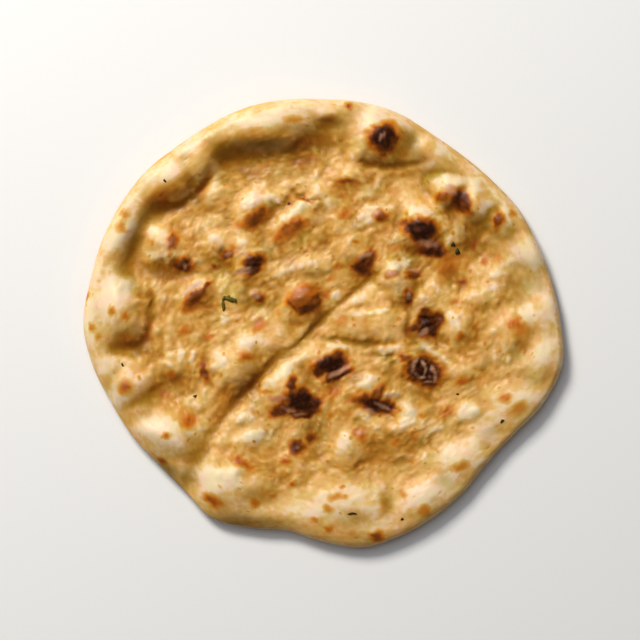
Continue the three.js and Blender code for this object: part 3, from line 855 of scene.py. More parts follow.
def skin(directions, top_share):
    """Directions from the middle of the wrapped box become points of the skin.

    Gives x, y and z, the way in from the outline, and how far each point is on the top, from 1 on the
    crust to 0 on the underside.
    """
    bearing = np.arctan2(directions[:, 1], directions[:, 0])
    radius = around(OUTLINE_RADII, bearing)
    half = np.arccos(np.clip(directions[:, 2], -1, 1)) / 2
    edge = math.asin(math.sqrt(top_share))
    is_top = half <= edge
    share = np.where(is_top, np.sin(half) / math.sin(edge), np.cos(half) / math.cos(edge))
    rounding = around(RIM_ROUNDING, bearing)
    flat = radius - rounding
    walked = share * (flat + rounding * math.pi / 2)
    turn = np.maximum(walked - flat, 0) / rounding
    r = np.where(walked < flat, walked, flat + rounding * np.sin(turn))
    x, y = r * np.cos(bearing), r * np.sin(bearing)
    inset = radius - r
    top = top_crust(x, y, inset, bearing)
    bottom = underside(inset, bearing)
    widest = bottom + (top - bottom) * EDGE_SHARE
    z = widest + (np.where(is_top, top, bottom) - widest) * np.cos(turn)
    upness = np.where(is_top, 0.5 + 0.5 * np.cos(turn), 0.5 - 0.5 * np.cos(turn))
    return x, y, z, inset, upness


# ------------------------------------------------------------------------ repeatable random relief

# What scrambles a place on a lattice and a seed into a repeatable number.
SCRAMBLE = (374761393, 668265263, 362437)
SCRAMBLE_AGAIN = 1274126177
WORD = 0xFFFFFFFF
HALF_WORD = 0xFFFF

LUMP_GAIN = 1.6
PILLOW_GAIN = 2.2
PILLOW_ROUNDING = 0.05
PILLOW_DROP = 0.8
BUBBLE_MARGIN = 0.2  # the nearest that a bubble's middle comes to the edge of its cell
BUBBLE_FULLNESS = 1.3


def lattice(ix, iy, seed):
    """A repeatable number from 0 to 1 for each square of a lattice."""
    n = (ix * SCRAMBLE[0] + iy * SCRAMBLE[1] + seed * SCRAMBLE[2]) & WORD
    n = ((n ^ (n >> 13)) * SCRAMBLE_AGAIN) & WORD
    return ((n ^ (n >> 16)) & HALF_WORD) / HALF_WORD


def lumps(x, y, size, seed):
    """Smooth random lumps from about -1 to 1, each about as wide as size."""
    u, v = x / size, y / size
    iu, iv = np.floor(u).astype(np.int64), np.floor(v).astype(np.int64)
    fu, fv = u - iu, v - iv
    corners = []
    for dv in (0, 1):
        for du in (0, 1):
            turn = 2 * math.pi * lattice(iu + du, iv + dv, seed)
            corners.append(np.cos(turn) * (fu - du) + np.sin(turn) * (fv - dv))
    wu = fu * fu * fu * (fu * (fu * 6 - 15) + 10)
    wv = fv * fv * fv * (fv * (fv * 6 - 15) + 10)
    low = blend(corners[0], corners[1], wu)
    high = blend(corners[2], corners[3], wu)
    return LUMP_GAIN * blend(low, high, wv)


def layered(x, y, layers):
    """Lumps of several sizes added up: rows of amount, size and seed."""
    return sum(amount * lumps(x, y, size, seed) for amount, size, seed in layers)


def sway(x, y, layers):
    """How far random lumps shift each place along x and y: rows of amount, size and the two seeds."""
    return (
        layered(x, y, [(amount, size, seed) for amount, size, seed, _ in layers]),
        layered(x, y, [(amount, size, seed) for amount, size, _, seed in layers]),
    )


def swayed(x, y, layers):
    """Each place shifted, so that the patterns worked out there come out uneven."""
    shift_x, shift_y = sway(x, y, layers)
    return x + shift_x, y + shift_y


def pillows(x, y, length, width, bearing, seed):
    """Long swellings with round tops and narrow valleys between them, from about -0.5 to 1."""
    c, s = math.cos(radians(bearing)), math.sin(radians(bearing))
    lump = lumps((x * c + y * s) * width / length, y * c - x * s, width, seed)
    return PILLOW_GAIN * np.sqrt(lump * lump + PILLOW_ROUNDING) - PILLOW_DROP


def bubbles(x, y, row):
    """Scattered round domes, each somewhere in its own cell, by one of the rows below."""
    amount, cell, seed, share, smallest, largest = row
    iu, iv = np.floor(x / cell).astype(np.int64), np.floor(y / cell).astype(np.int64)
    spread = 1 - 2 * BUBBLE_MARGIN
    height = np.zeros(x.shape)
    for dv in (-1, 0, 1):
        for du in (-1, 0, 1):
            cu, cv = iu + du, iv + dv
            bx = (cu + BUBBLE_MARGIN + spread * lattice(cu, cv, seed)) * cell
            by = (cv + BUBBLE_MARGIN + spread * lattice(cu, cv, seed + 1)) * cell
            there = lattice(cu, cv, seed + 2) < share
            size = cell * blend(smallest, largest, lattice(cu, cv, seed + 3))
            q = ((x - bx) ** 2 + (y - by) ** 2) / size ** 2
            height = np.maximum(height, np.where(there, np.maximum(1 - q, 0) ** BUBBLE_FULLNESS, 0))
    return amount * height


# Bubbles: amount, size of the cells, seed, the share of cells with a bubble, and the radius of the
# smallest and largest, as shares of the cell.
SKIN_BUBBLES = (0.4, 8, 31, 0.7, 0.15, 0.55)
SMALL_BUBBLES = (0.25, 4.2, 41, 0.6, 0.15, 0.55)
PINHOLES = (0.4, 11, 51, 0.5, 0.04, 0.09)
FRECKLES = (1.5, 6, 81, 0.28, 0.1, 0.22)
SCORCHES = (1.1, 23, 101, 0.55, 0.1, 0.42)
SMALL_SCORCHES = (1.1, 9, 111, 0.35, 0.12, 0.4)
DIMPLES = (0.33, 11, 121, 0.75, 0.2, 0.55)

# Sways: amount, size, and the seeds along x and along y.
SKIN_SWAY = ((2.2, 17, 11, 13), (0.7, 6, 12, 14))
FINE_SWAY = ((0.6, 6, 12, 14),)
BAKE_SWAY = ((0.9, 4.3, 71, 73), (0.3, 1.8, 72, 74))
PATCH_SWAY = ((0.5, 3.3, 85, 86),)
BELOW_SWAY = ((1.6, 7, 91, 93), (0.5, 2.5, 92, 94))

GRAIN_BEARING = 36  # the way that the wrinkles run, about along the long crease
SHADED_SIDE_BEARING = -58  # the way that slopes in painted shade face, away from the key light; they are painted more golden
SIDE_HEIGHT = 12  # from the top crust down the side to the underside

# Relief. RELIEF_MIDDLE and the like are a start and a width for ease(). A rim share is how much of
# something is left on the rim, and what is calmed is how much of it a smooth skin takes away.
RELIEF_MIDDLE = (12, 16)
BROAD_PILLOWS = (15, 10, GRAIN_BEARING, 21)  # length, width, bearing, seed
BROAD_HEIGHT = 0.4
BROAD_CALMED = 0.25
BROAD_RIM_SHARE = 0.12
WRINKLES = (  # height, and then the same
    (0.3, 7, 5, GRAIN_BEARING + 12, 22),
    (0.16, 3.6, 2.8, GRAIN_BEARING - 10, 23),
)
GRIT = ((0.05, 1.9, 24),)  # here and below, rows for layered()
UNDULATIONS = ((0.35, 26, 25),)
ROUGH_RIM_SHARE = 0.25
ROUGH_CALMED = 0.8
BUBBLE_RIM_SHARE = 0.2
LUMP_REACH = 2.2
CRUMPLE_HEIGHT = 1.2
CRUMPLE_TOP = 0.45
CRUMPLE_FOLDS = ((1.4, 4.6, 61),)
CRUMPLE_ROUNDING = 0.198
CRUMPLE_CREASES = ((0.2, 1.9, 62),)


def relief(x, y, inset):
    """How far the crust stands proud of its main form: pillows, wrinkles, bubbles and blisters."""
    wx, wy = swayed(x, y, SKIN_SWAY)
    fx, fy = swayed(x, y, FINE_SWAY)
    middle = ease(inset, *RELIEF_MIDDLE)
    calm = np.zeros(x.shape)
    for skin_row in SMOOTH_SKINS:
        calm = np.maximum(calm, bell(blob(fx, fy, skin_row)))
    rough = blend(ROUGH_RIM_SHARE, 1, middle) * (1 - ROUGH_CALMED * calm)
    height = blend(BROAD_RIM_SHARE, 1, middle) * (BROAD_HEIGHT - BROAD_CALMED * calm)
    height *= pillows(wx, wy, *BROAD_PILLOWS)
    for amount, *pattern in WRINKLES:
        height += rough * amount * pillows(wx, wy, *pattern)
    height += rough * (layered(wx, wy, GRIT) + bubbles(wx, wy, SKIN_BUBBLES))
    height += blend(BUBBLE_RIM_SHARE, 1, middle) * bubbles(wx, wy, SMALL_BUBBLES)
    height += layered(x, y, UNDULATIONS) - bubbles(wx, wy, PINHOLES)
    for lump in LUMPS:
        height += lump[5] * bell(blob(fx, fy, lump), LUMP_REACH)
    crumple = CRUMPLE_TOP - np.hypot(layered(x, y, CRUMPLE_FOLDS), CRUMPLE_ROUNDING)
    crumple -= np.abs(layered(x, y, CRUMPLE_CREASES))
    for blister in BLISTERS:
        rise = bell(blob(fx, fy, blister))
        height += blister[6] * rise + blister[7] * CRUMPLE_HEIGHT * np.sqrt(rise) * crumple
    return height


# Bake of the top: amounts on the rim and in the middle. The shade-side amounts darken slopes that face
# away from the key light, as painted shade.
BASE_BAKE = (0.13, 0.32)
SHADE_SIDE_BAKE = (0.3, 0.2)
SHADE_SIDE_MOST = (0.14, 0.08)
FRECKLE_SHARE = (0.3, 1)

# A start and a width for ease() each.
BAKE_MIDDLE = (8, 18)
EDGE_REACH = (12, -12)
LUMP_PALE_AND_HIGHLIGHT_REACH = (1.8, -1.8)
SPOT_EDGE = (1.55, -1.3)
BLISTER_EDGE = (1.5, -1)
MARBLED_FROM = (0.6, 0.3)

# Rows for layered().
BAKE_LAYERS = ((0.05, 21, 75), (0.06, 8, 76), (0.08, 2.6, 77))
FRAY = ((0.08, 3.1, 78), (0.025, 1.5, 79))
MARBLING = ((0.12, 3.2, 84),)

EDGE_SHADE_AND_LIGHT_BAKE = (0.13, -0.05)  # painted shade on the edge away from the key light, and paler painted light on the lit side
# darker in hollows and paler on rises: partly painted shade and painted highlight
HOLLOW_SHADE_BAKE = 0.1
HOLLOW_SHADE_BAKE_LIMITS = (-0.14, 0.03)
# how much paler, as painted light, the slopes that face the key light may get
LIT_SIDE_LEAST = -0.04
FRECKLE_BAKE = 0.5
BLISTER_FRAY = 1.5


def bake(x, y, inset, upness, hollow, shade_facing):
    """How far each point is baked: 0 is pale dough, about 0.35 golden, 0.6 toasted, 0.8 brown, 1 black.

    Hollow is how deep the point lies under its surroundings, and shade_facing how much it faces away from
    the key light; the bake uses both for painted shade and light.
    """
    away = np.maximum(np.hypot(x, y), 1)
    unrolled = 1 + SIDE_HEIGHT * (1 - upness) / away
    ux, uy = x * unrolled, y * unrolled
    sway_x, sway_y = sway(ux, uy, BAKE_SWAY)
    wx, wy = x + sway_x, y + sway_y
    ux, uy = ux + sway_x, uy + sway_y
    middle = ease(inset, *BAKE_MIDDLE)
    shade_turn = radians(SHADED_SIDE_BEARING)
    # the side of the loaf towards the key light
    lit_side = 0.5 - 0.5 * (x * math.cos(shade_turn) + y * math.sin(shade_turn)) / away
    level = blend(*BASE_BAKE, middle) + layered(ux, uy, BAKE_LAYERS)
    # the rim's edge: painted shade away from the key light, paler painted light on the lit side
    level += blend(*EDGE_SHADE_AND_LIGHT_BAKE, lit_side) * ease(inset, *EDGE_REACH)
    # painted shade in hollows, painted highlight on rises
    level += np.clip(hollow * HOLLOW_SHADE_BAKE, *HOLLOW_SHADE_BAKE_LIMITS)
    # painted shade on slopes away from the key light, painted light on slopes towards it
    level += np.clip(shade_facing * blend(*SHADE_SIDE_BAKE, middle), LIT_SIDE_LEAST, blend(*SHADE_SIDE_MOST, middle))
    # broad washes of bake, and of painted light and shade
    for wash in BAKE_AND_SHADING_WASHES:
        level += wash[5] * bell(blob(wx, wy, wash))
    # pale tops of the lumps: partly paler dough, partly painted highlight
    for lump in LUMPS:
        level -= lump[6] * ease(blob(wx, wy, lump), *LUMP_PALE_AND_HIGHLIGHT_REACH)
    freckle = np.minimum(bubbles(ux, uy, FRECKLES), 1) * blend(*FRECKLE_SHARE, middle)
    level = raised(level, FRECKLE_BAKE, freckle)
    fray = layered(x, y, FRAY)
    for rows, edge, frayed in ((SPOTS, SPOT_EDGE, fray), (BLISTERS, BLISTER_EDGE, fray * BLISTER_FRAY)):
        for row in rows:
            level = raised(level, row[5], ease(np.sqrt(blob(wx, wy, row)) + frayed, *edge))
    level -= ease(level, *MARBLED_FROM) * np.abs(layered(x, y, MARBLING))
    return np.clip(level, 0, 1)


# Bake of the underside.
BELOW_BAKE = 0.26
BELOW_LAYERS = ((0.14, 24, 95), (0.09, 9, 96))
BELOW_GRAIN = ((0.06, 2.6, 97),)
SCORCH_BAKE = 0.5
SMALL_SCORCH_BAKE = 0.22
BELOW_MOST = 0.93


def bake_below(x, y):
    """How far the underside is baked, which lay against hot clay: golden, with scorched freckles."""
    wx, wy = swayed(x, y, BELOW_SWAY)
    level = BELOW_BAKE + layered(wx, wy, BELOW_LAYERS) + layered(x, y, BELOW_GRAIN)
    level += SCORCH_BAKE * smooth_step(bubbles(wx, wy, SCORCHES))
    level += SMALL_SCORCH_BAKE * smooth_step(bubbles(wx, wy, SMALL_SCORCHES))
    return np.clip(level, 0, BELOW_MOST)


PATCH_REACH = 1.5
GLINT_SOFTNESS = 0.9
STAIN_AND_SHADOW_SOFTNESS = 1.4


def patches(x, y, rows, softness):
    """How far each point lies in patches with uneven edges, from 0 to 1."""
    wx, wy = swayed(x, y, PATCH_SWAY)
    share = np.zeros(x.shape)
    for row in rows:
        share = np.maximum(share, row[5] * ease(np.sqrt(blob(wx, wy, row)), PATCH_REACH, -softness))
    return share


# ----------------------------------------------------------------------------------- mesh helpers

def wrapped_box(name, squares):
    """A mesh of an evenly squared box, which the skin is then wrapped from."""
    bm = bmesh.new()
    bmesh.ops.create_cube(bm, size=2)
    bmesh.ops.subdivide_edges(bm, edges=bm.edges, cuts=squares - 1, use_grid_fill=True)
    mesh = bpy.data.meshes.new(name)
    bm.to_mesh(mesh)
    bm.free()
    return mesh


def read_points(mesh, what="co"):
    values = np.empty(len(mesh.vertices) * 3)
    mesh.vertices.foreach_get(what, values)
    return values.reshape(-1, 3)


def write_points(mesh, points):
    mesh.vertices.foreach_set("co", points.ravel())
    mesh.update()


def neighbour_mean(mesh, values, rounds):
    """The values evened out over the mesh: each round takes the mean of a point's neighbours."""
    edges = np.empty(len(mesh.edges) * 2, int)
    mesh.edges.foreach_get("vertices", edges)
    a, b = edges[0::2], edges[1::2]
    count = len(values)
    degree = np.bincount(a, minlength=count) + np.bincount(b, minlength=count)
    for _ in range(rounds):
        total = np.bincount(a, values[b], count) + np.bincount(b, values[a], count)
        values = total / degree
    return values


def store(mesh, name, values):
    """Keep a number for each vertex, for the material to read."""
    layer = mesh.attributes.new(name, "FLOAT", "POINT")
    layer.data.foreach_set("value", np.asarray(values, np.float32))


def add_piece(name, mesh, material):
    """Put a finished mesh in the scene, on the bread's body and in its slot."""
    piece = bpy.data.objects.new(name, mesh)
    bpy.context.collection.objects.link(piece)
    mesh.materials.append(material)
    mesh.shade_smooth()
    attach(piece, "root")
    return piece


def crust_place(x, y):
    """The height of the finished crust at one place, in millimetres."""
    px, py = np.array([float(x)]), np.array([float(y)])
    bearing = np.arctan2(py, px)
    inset = around(OUTLINE_RADII, bearing) - np.hypot(px, py)
    return float((top_crust(px, py, inset, bearing) + relief(px, py, inset))[0])


# -------------------------------------------------------------------------------------- materials

# Noise in the materials: size of the lumps in metres, detail, and roughness where it isn't the usual.
MOTTLE = (0.0035, 5)
SPECKLE = (0.0009, 4)
TINGE = (0.007, 4, 0.65)
PORES = (0.0006, 3)
HERB_MOTTLE = (0.0012, 4)

MOTTLE_SHIFT = 0.16  # how far the noise shifts the bake, from end to end
SPECKLE_SHIFT = 0.08
TINGE_RANGE = (0.36, 0.64)
CHAR_RANGE = (0.7, 0.95)
ROUGHNESS = 0.38
ROUGHNESS_SPREAD = 0.35
CHAR_POLISH = -0.2  # what char takes off the roughness
CHAR_FILM = -0.17  # and off the film of butter
PORE_BUMP = (0.35, 0.00025)  # strength, and depth in metres
HERB_BUMP = (0.4, 0.0002)
CRUST_SHADER = {
    "Specular IOR Level": 0.15,
    "Subsurface Weight": 0.1,
    "Subsurface Radius": (1.0, 0.55, 0.25),
    "Subsurface Scale": 0.0025,
    "Coat Roughness": 0.38,
}
HERB_SHADER = {"Roughness": 0.5, "Specular IOR Level": 0.2}


def new_material(name):
    material = bpy.data.materials.new(name)
    material.use_nodes = True
    return material, material.node_tree.nodes, material.node_tree.links


def feed(links, socket, value):
    """Give a socket another node's output, a number or a colour."""
    if isinstance(value, bpy.types.NodeSocket):
        links.new(value, socket)
    elif isinstance(value, (int, float)):
        socket.default_value = value
    else:
        socket.default_value = (*value, 1)


def attribute_node(nodes, name):
    """The number that the mesh keeps under a name for each vertex."""
    node = nodes.new("ShaderNodeAttribute")
    node.attribute_name = name
    return node.outputs["Fac"]


def noise_node(nodes, links, source, size, detail, roughness=0.55):
    """A noise pattern with lumps of about the given size, in metres."""
    node = nodes.new("ShaderNodeTexNoise")
    links.new(source, node.inputs["Vector"])
    for name, value in (("Scale", 1 / size), ("Detail", detail), ("Roughness", roughness)):
        feed(links, node.inputs[name], value)
    return node.outputs["Fac"]


def math_node(nodes, links, operation, *values, clamp=False):
    node = nodes.new("ShaderNodeMath")
    node.operation = operation
    node.use_clamp = clamp
    for socket, value in zip(node.inputs, values):
        feed(links, socket, value)
    return node.outputs["Value"]


def range_node(nodes, links, value, low, high):
    """From 0 to 1 as a value goes from low to high."""
    node = nodes.new("ShaderNodeMapRange")
    for name, given in (("Value", value), ("From Min", low), ("From Max", high)):
        feed(links, node.inputs[name], given)
    return node.outputs["Result"]


def mix_node(nodes, links, share, colour, other, blend_type="MIX"):
    """Blend one colour with another as far as the share says."""
    node = nodes.new("ShaderNodeMix")
    node.data_type = "RGBA"
    node.blend_type = blend_type
    for name, value in (("Factor", share), ("A", colour), ("B", other)):
        feed(links, node.inputs[name], value)
    return node.outputs["Result"]


def add_bump(nodes, links, shader, height, strength, depth):
    node = nodes.new("ShaderNodeBump")
    for name, value in (("Height", height), ("Strength", strength), ("Distance", depth)):
        feed(links, node.inputs[name], value)
    links.new(node.outputs["Normal"], shader.inputs["Normal"])


def crust_material(settings):
    """Baked dough: the colour runs with the bake, from cream to char, under a film of butter."""
    material, nodes, links = new_material("baked_crust")
    shader = nodes["Principled BSDF"]
    place = nodes.new("ShaderNodeTexCoord").outputs["Object"]
    mottle = noise_node(nodes, links, place, *MOTTLE)
    speckle = noise_node(nodes, links, place, *SPECKLE)
    level = attribute_node(nodes, "bake")
    for noise, spread in ((mottle, MOTTLE_SHIFT), (speckle, SPECKLE_SHIFT)):
        shift = math_node(nodes, links, "MULTIPLY_ADD", noise, spread, -spread / 2)
        level = math_node(nodes, links, "ADD", level, shift)
    level.node.use_clamp = True

    ramp = nodes.new("ShaderNodeValToRGB")
    ramp.color_ramp.interpolation = "LINEAR"
    stops = [
        # the palest stop stands partly for a painted highlight
        (0.0, settings.pale_and_highlight_colour),
        (0.09, settings.dough_colour),
        (0.18, settings.cream_colour),
        (0.38, settings.golden_colour),
        (0.58, settings.toasted_colour),
        (0.72, settings.brown_colour),
        (0.86, settings.dark_colour),
        (0.97, settings.char_colour),
    ]
    elements = ramp.color_ramp.elements
    while len(elements) < len(stops):
        elements.new(0.5)
    for element, (position, stop_colour) in zip(elements, stops):
        element.position = position
        element.color = (*stop_colour, 1)
    links.new(level, ramp.inputs["Fac"])

    colour = ramp.outputs["Color"]
    # the hollow and shadow tints are painted shade, the stain tint is herb stain and greenish painted
    # shade, and the glint mix is painted highlight
    for name, tint, blend_type in (
        ("hollow", settings.hollow_shade_tint, "MULTIPLY"),
        ("painted_shadow", settings.shadow_tint, "MULTIPLY"),
        ("stained_and_shaded", settings.stain_and_shade_tint, "MULTIPLY"),
        ("painted_glint", settings.glint_colour, "MIX"),
    ):
        colour = mix_node(nodes, links, attribute_node(nodes, name), colour, tint, blend_type)
    which = range_node(nodes, links, noise_node(nodes, links, place, *TINGE), *TINGE_RANGE)
    tinge = mix_node(nodes, links, which, settings.rosy_tint, settings.olive_tint)
    feed(links, shader.inputs["Base Color"], mix_node(nodes, links, 1, colour, tinge, "MULTIPLY"))

    charred = range_node(nodes, links, level, *CHAR_RANGE)
    rough = math_node(nodes, links, "MULTIPLY_ADD", mottle, ROUGHNESS_SPREAD, ROUGHNESS)
    polish = math_node(nodes, links, "MULTIPLY_ADD", charred, CHAR_POLISH, rough)
    film = math_node(nodes, links, "MULTIPLY_ADD", charred, CHAR_FILM, settings.butter)
    feed(links, shader.inputs["Roughness"], polish)
    feed(links, shader.inputs["Coat Weight"], film)
    add_bump(nodes, links, shader, noise_node(nodes, links, place, *PORES), *PORE_BUMP)
    for name, value in CRUST_SHADER.items():
        shader.inputs[name].default_value = value
    return material


def herb_material(name, colour, dark):
    """A baked leaf or seed: its own colour, mottled towards a darker one."""
    material, nodes, links = new_material(name)
    shader = nodes["Principled BSDF"]
    place = nodes.new("ShaderNodeTexCoord").outputs["Object"]
    mottle = noise_node(nodes, links, place, *HERB_MOTTLE)
    feed(links, shader.inputs["Base Color"], mix_node(nodes, links, mottle, colour, dark))
    add_bump(nodes, links, shader, mottle, *HERB_BUMP)
    for socket_name, value in HERB_SHADER.items():
        shader.inputs[socket_name].default_value = value
    return material


# --------------------------------------------------------------------------------------- settings

def from_srgb(red, green, blue):
    """A screen colour, 0 to 255, as the linear colour that Blender mixes."""
    def linear(value):
        share = value / 255
        return share / 12.92 if share <= 0.04045 else ((share + 0.055) / 1.055) ** 2.4
    return tuple(linear(value) for value in (red, green, blue))


def colour_property(name, description, screen_colour):
    return bpy.props.FloatVectorProperty(
        name=name, description=description, subtype="COLOR", size=3, min=0, max=1,
        default=from_srgb(*screen_colour),
    )


def share_property(name, description, default, least=0, most=1):
    return bpy.props.FloatProperty(
        name=name, description=description, subtype="FACTOR", default=default, min=least, max=most,
    )


def length_property(name, description, default):
    return bpy.props.FloatProperty(
        name=name, description=description, subtype="DISTANCE", unit="LENGTH", default=default,
    )


def angle_property(name, description, degrees):
    return bpy.props.FloatProperty(
        name=name, description=description, subtype="ANGLE", default=radians(degrees),
    )


def power_property(name, description, default):
    return bpy.props.FloatProperty(name=name, description=description, unit="POWER", default=default)


class NaanBreadSettings(bpy.types.PropertyGroup):
    """Sizes and colours of the bread."""

    squares: bpy.props.IntProperty(
        name="Squares", description="Squares along each side of the wrapped box", default=128, min=16,
    )
    top_share: share_property("Top share", "Share of the squares on the top crust", 0.84, 0.5, 0.9)
    relief: share_property("Relief", "Strength of the pillows, wrinkles and blisters", 1.0, most=2)
    butter: share_property("Butter", "How much butter was brushed on", 0.32)
    # palest dough, on the lit edge and the lumps' tops; partly a painted highlight
    pale_and_highlight_colour: colour_property("Pale", "Dough that hardly baked", (240, 216, 182))
    dough_colour: colour_property("Dough", "Palest crust, on the puffs", (237, 205, 161))
    cream_colour: colour_property("Cream", "Lightly baked crust", (226, 182, 110))
    golden_colour: colour_property("Golden", "Crust of the middle", (209, 149, 56))
    toasted_colour: colour_property("Toasted", "Edges of the spots", (200, 109, 9))
    brown_colour: colour_property("Brown", "Browned blisters", (141, 74, 6))
    dark_colour: colour_property("Dark", "Dark blisters", (99, 45, 3))
    char_colour: colour_property("Char", "Burnt crust", (49, 19, 5))
    # colour of the painted highlights on the blisters
    glint_colour: colour_property("Blush", "Pale skin of the blisters", (200, 146, 114))
    # herb stain, and greenish painted shade under the north roll
    stain_and_shade_tint: colour_property("Herb stain", "What herbs tinge the butter with", (222, 236, 150))
    rosy_tint: colour_property("Rosy", "Tinge of the rosier patches", (255, 244, 246))
    olive_tint: colour_property("Olive", "Tinge of the oilier patches", (248, 255, 240))
    # colour that the painted shadows are darkened with
    shadow_tint: colour_property("Soaked", "What buttery patches are deepened with", (160, 147, 94))
    # painted shade in hollows and on slopes that face away from the key light
    hollow_shade_tint: colour_property("Hollows", "What hollows are deepened with", (198, 184, 90))


class NaanHerbSettings(bpy.types.PropertyGroup):
    """Colours of the flecks on the bread."""

    leaf_colour: colour_property("Leaf", "Baked coriander leaf", (112, 102, 20))
    leaf_dark: colour_property("Leaf shade", "Darker parts of the leaf", (58, 46, 6))
    seed_colour: colour_property("Seed", "Charred seeds", (66, 54, 24))
    seed_dark: colour_property("Seed shade", "Darker parts of the seeds", (22, 16, 8))


class NaanStageSettings(bpy.types.PropertyGroup):
    """Floor, lights and camera."""

    view_width: length_property("View width", "Width that the camera takes in at the crust", 0.320)
    view_height: length_property("Camera height", "Height of the camera over the table", 1.0)
    view_centre: bpy.props.FloatVectorProperty(
        name="View centre", description="Where the camera looks straight down on",
        subtype="TRANSLATION", unit="LENGTH", size=2, default=(-0.002, 0.0015),
    )
    key_bearing: angle_property("Key bearing", "Where the lights stand, anticlockwise from +X", 122)
    key_height: angle_property("Key height", "How high the main light stands over the table", 42)
    key_distance: length_property("Key distance", "Distance of the main light from the bread", 1.8)
    key_size: length_property("Key size", "Side of the main light's softbox", 0.5)
    key_power: power_property("Key power", "Power of the main light", 31)
    key_colour: colour_property("Key colour", "Colour of the main light", (255, 250, 240))
    window_height: angle_property("Window height", "How high the broad light stands over the table", 58)
    window_distance: length_property("Window distance", "Distance of the broad light from the bread", 2.4)
    window_size: length_property("Window size", "Side of the broad light", 2.0)
    window_power: power_property("Window power", "Power of the broad light", 20)
    window_colour: colour_property("Window colour", "Colour of the broad light", (240, 246, 255))
    fill: bpy.props.FloatProperty(
        name="Fill", description="Strength of the light from all round", default=0.14, min=0,
    )
    fill_colour: colour_property("Fill colour", "Colour of the light from all round", (245, 241, 238))
    floor_colour: colour_property("Floor", "Colour of the floor", (238, 238, 238))
    floor_height: length_property("Floor height", "Height of the floor under the bread", -0.0002)


# -------------------------------------------------------------------------------------- operators

# Pairs for ease() over the way up, from 0 on the underside to 1 on the top, and over the way in.
BAKE_ABOVE = (0.2, 0.3)
RELIEF_ABOVE = (0.35, 0.4)
DIMPLES_BELOW = (0.15, -0.15)
# the painted shade on slopes away from the key light fades in from the edge
SHADE_SIDE_INSET = (3, 9)

# Hollows are what lies under its evened-out surroundings, broad ones first and then fine ones. The hollow
# tint darkens them, and the slopes that face away from the key light, as painted shade.
BROAD_ROUNDS = 50
FINE_ROUNDS = 12
FINE_WEIGHT = 3.0
HOLLOW_FROM = -0.4
HOLLOW_OVER = 2.6
AWAY_FROM_LIGHT_SHADE = 0.6

FLOOR_HALF_SIDE = 3
FLOOR_ROUGHNESS = 0.7
SENSOR_WIDTH = 36


class NAAN_OT_bread(bpy.types.Operator):
    """Wrap the crust round the loaf and bake it"""

    bl_idname = "naan.bread"
    bl_label = "Bread"

    def execute(self, context):
        settings = context.scene.naan_bread
        mesh = wrapped_box("naan_bread", settings.squares)
        corners = np.tan(read_points(mesh) * (math.pi / 4))  # evens out the squares of a box-sphere
        directions = corners / np.linalg.norm(corners, axis=1, keepdims=True)
        x, y, z, inset, upness = skin(directions, settings.top_share)
        write_points(mesh, np.column_stack((x, y, z)) * MM)

        hollow = neighbour_mean(mesh, z, BROAD_ROUNDS) - z
        above = ease(upness, *BAKE_ABOVE)
        proud = relief(x, y, inset) * ease(upness, *RELIEF_ABOVE)
        proud -= bubbles(x, y, DIMPLES) * ease(upness, *DIMPLES_BELOW)
        normals = read_points(mesh, "normal")
        # how far each slope faces away from the key light, for painted shade
        shade_turn = radians(SHADED_SIDE_BEARING)
        shade_facing = normals[:, 0] * math.cos(shade_turn) + normals[:, 1] * math.sin(shade_turn)
        shade_facing *= ease(inset, *SHADE_SIDE_INSET)
        points = np.column_stack((x, y, z)) + settings.relief * normals * proud[:, None]
        write_points(mesh, points * MM)
        hollow += FINE_WEIGHT * (neighbour_mean(mesh, points[:, 2], FINE_ROUNDS) - points[:, 2])

        store(mesh, "bake", blend(bake_below(x, y), bake(x, y, inset, upness, hollow, shade_facing), above))
        # painted highlights on the blisters
        store(mesh, "painted_glint", above * patches(x, y, PAINTED_GLINTS, GLINT_SOFTNESS))
        # painted shadows under the rolls, puffs and edges
        store(mesh, "painted_shadow", above * patches(x, y, PAINTED_SHADOWS, STAIN_AND_SHADOW_SOFTNESS))
        # herb stains, and greenish painted shade under the north roll
        store(mesh, "stained_and_shaded", above * patches(x, y, STAINS_AND_SHADE, STAIN_AND_SHADOW_SOFTNESS))
        # painted shade: hollows and slopes facing away from the key light take the hollow tint
        store(mesh, "hollow", smooth_step((hollow - HOLLOW_FROM) / HOLLOW_OVER + AWAY_FROM_LIGHT_SHADE * shade_facing))
        piece = add_piece("naan_bread", mesh, crust_material(settings))
        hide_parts("naan")
        return {"FINISHED"}


def add_fleck(bm, row, thickness):
    """Add one fleck to a mesh: a flattened, uneven drop, partly sunk into the crust."""
    x, y, length, width, bearing = row
    c, s = math.cos(radians(bearing)), math.sin(radians(bearing))
    base = crust_place(x, y) - thickness * (1 - 2 * FLECK_PROUD)
    for vertex in bmesh.ops.create_icosphere(bm, subdivisions=3, radius=1)["verts"]:
        u, v, w = vertex.co
        taper = 1 - FLECK_TAPER * u * u * (1 if u > 0 else FLECK_BLUNT_END)
        bend = FLECK_BEND[0] * width * math.sin(FLECK_BEND[1] * u + x)
        along = u * length / 2
        across = v * width / 2 * taper + bend
        up = w * thickness * taper
        vertex.co = (
            (x + along * c - across * s) * MM,
            (y + along * s + across * c) * MM,
            (base + up) * MM,
        )


def fleck_piece(name, rows, material, thickness):
    """One piece that holds all the flecks of a kind."""
    bm = bmesh.new()
    for row in rows:
        add_fleck(bm, row, thickness)
    mesh = bpy.data.meshes.new(name)
    bm.to_mesh(mesh)
    bm.free()
    return add_piece(name, mesh, material)


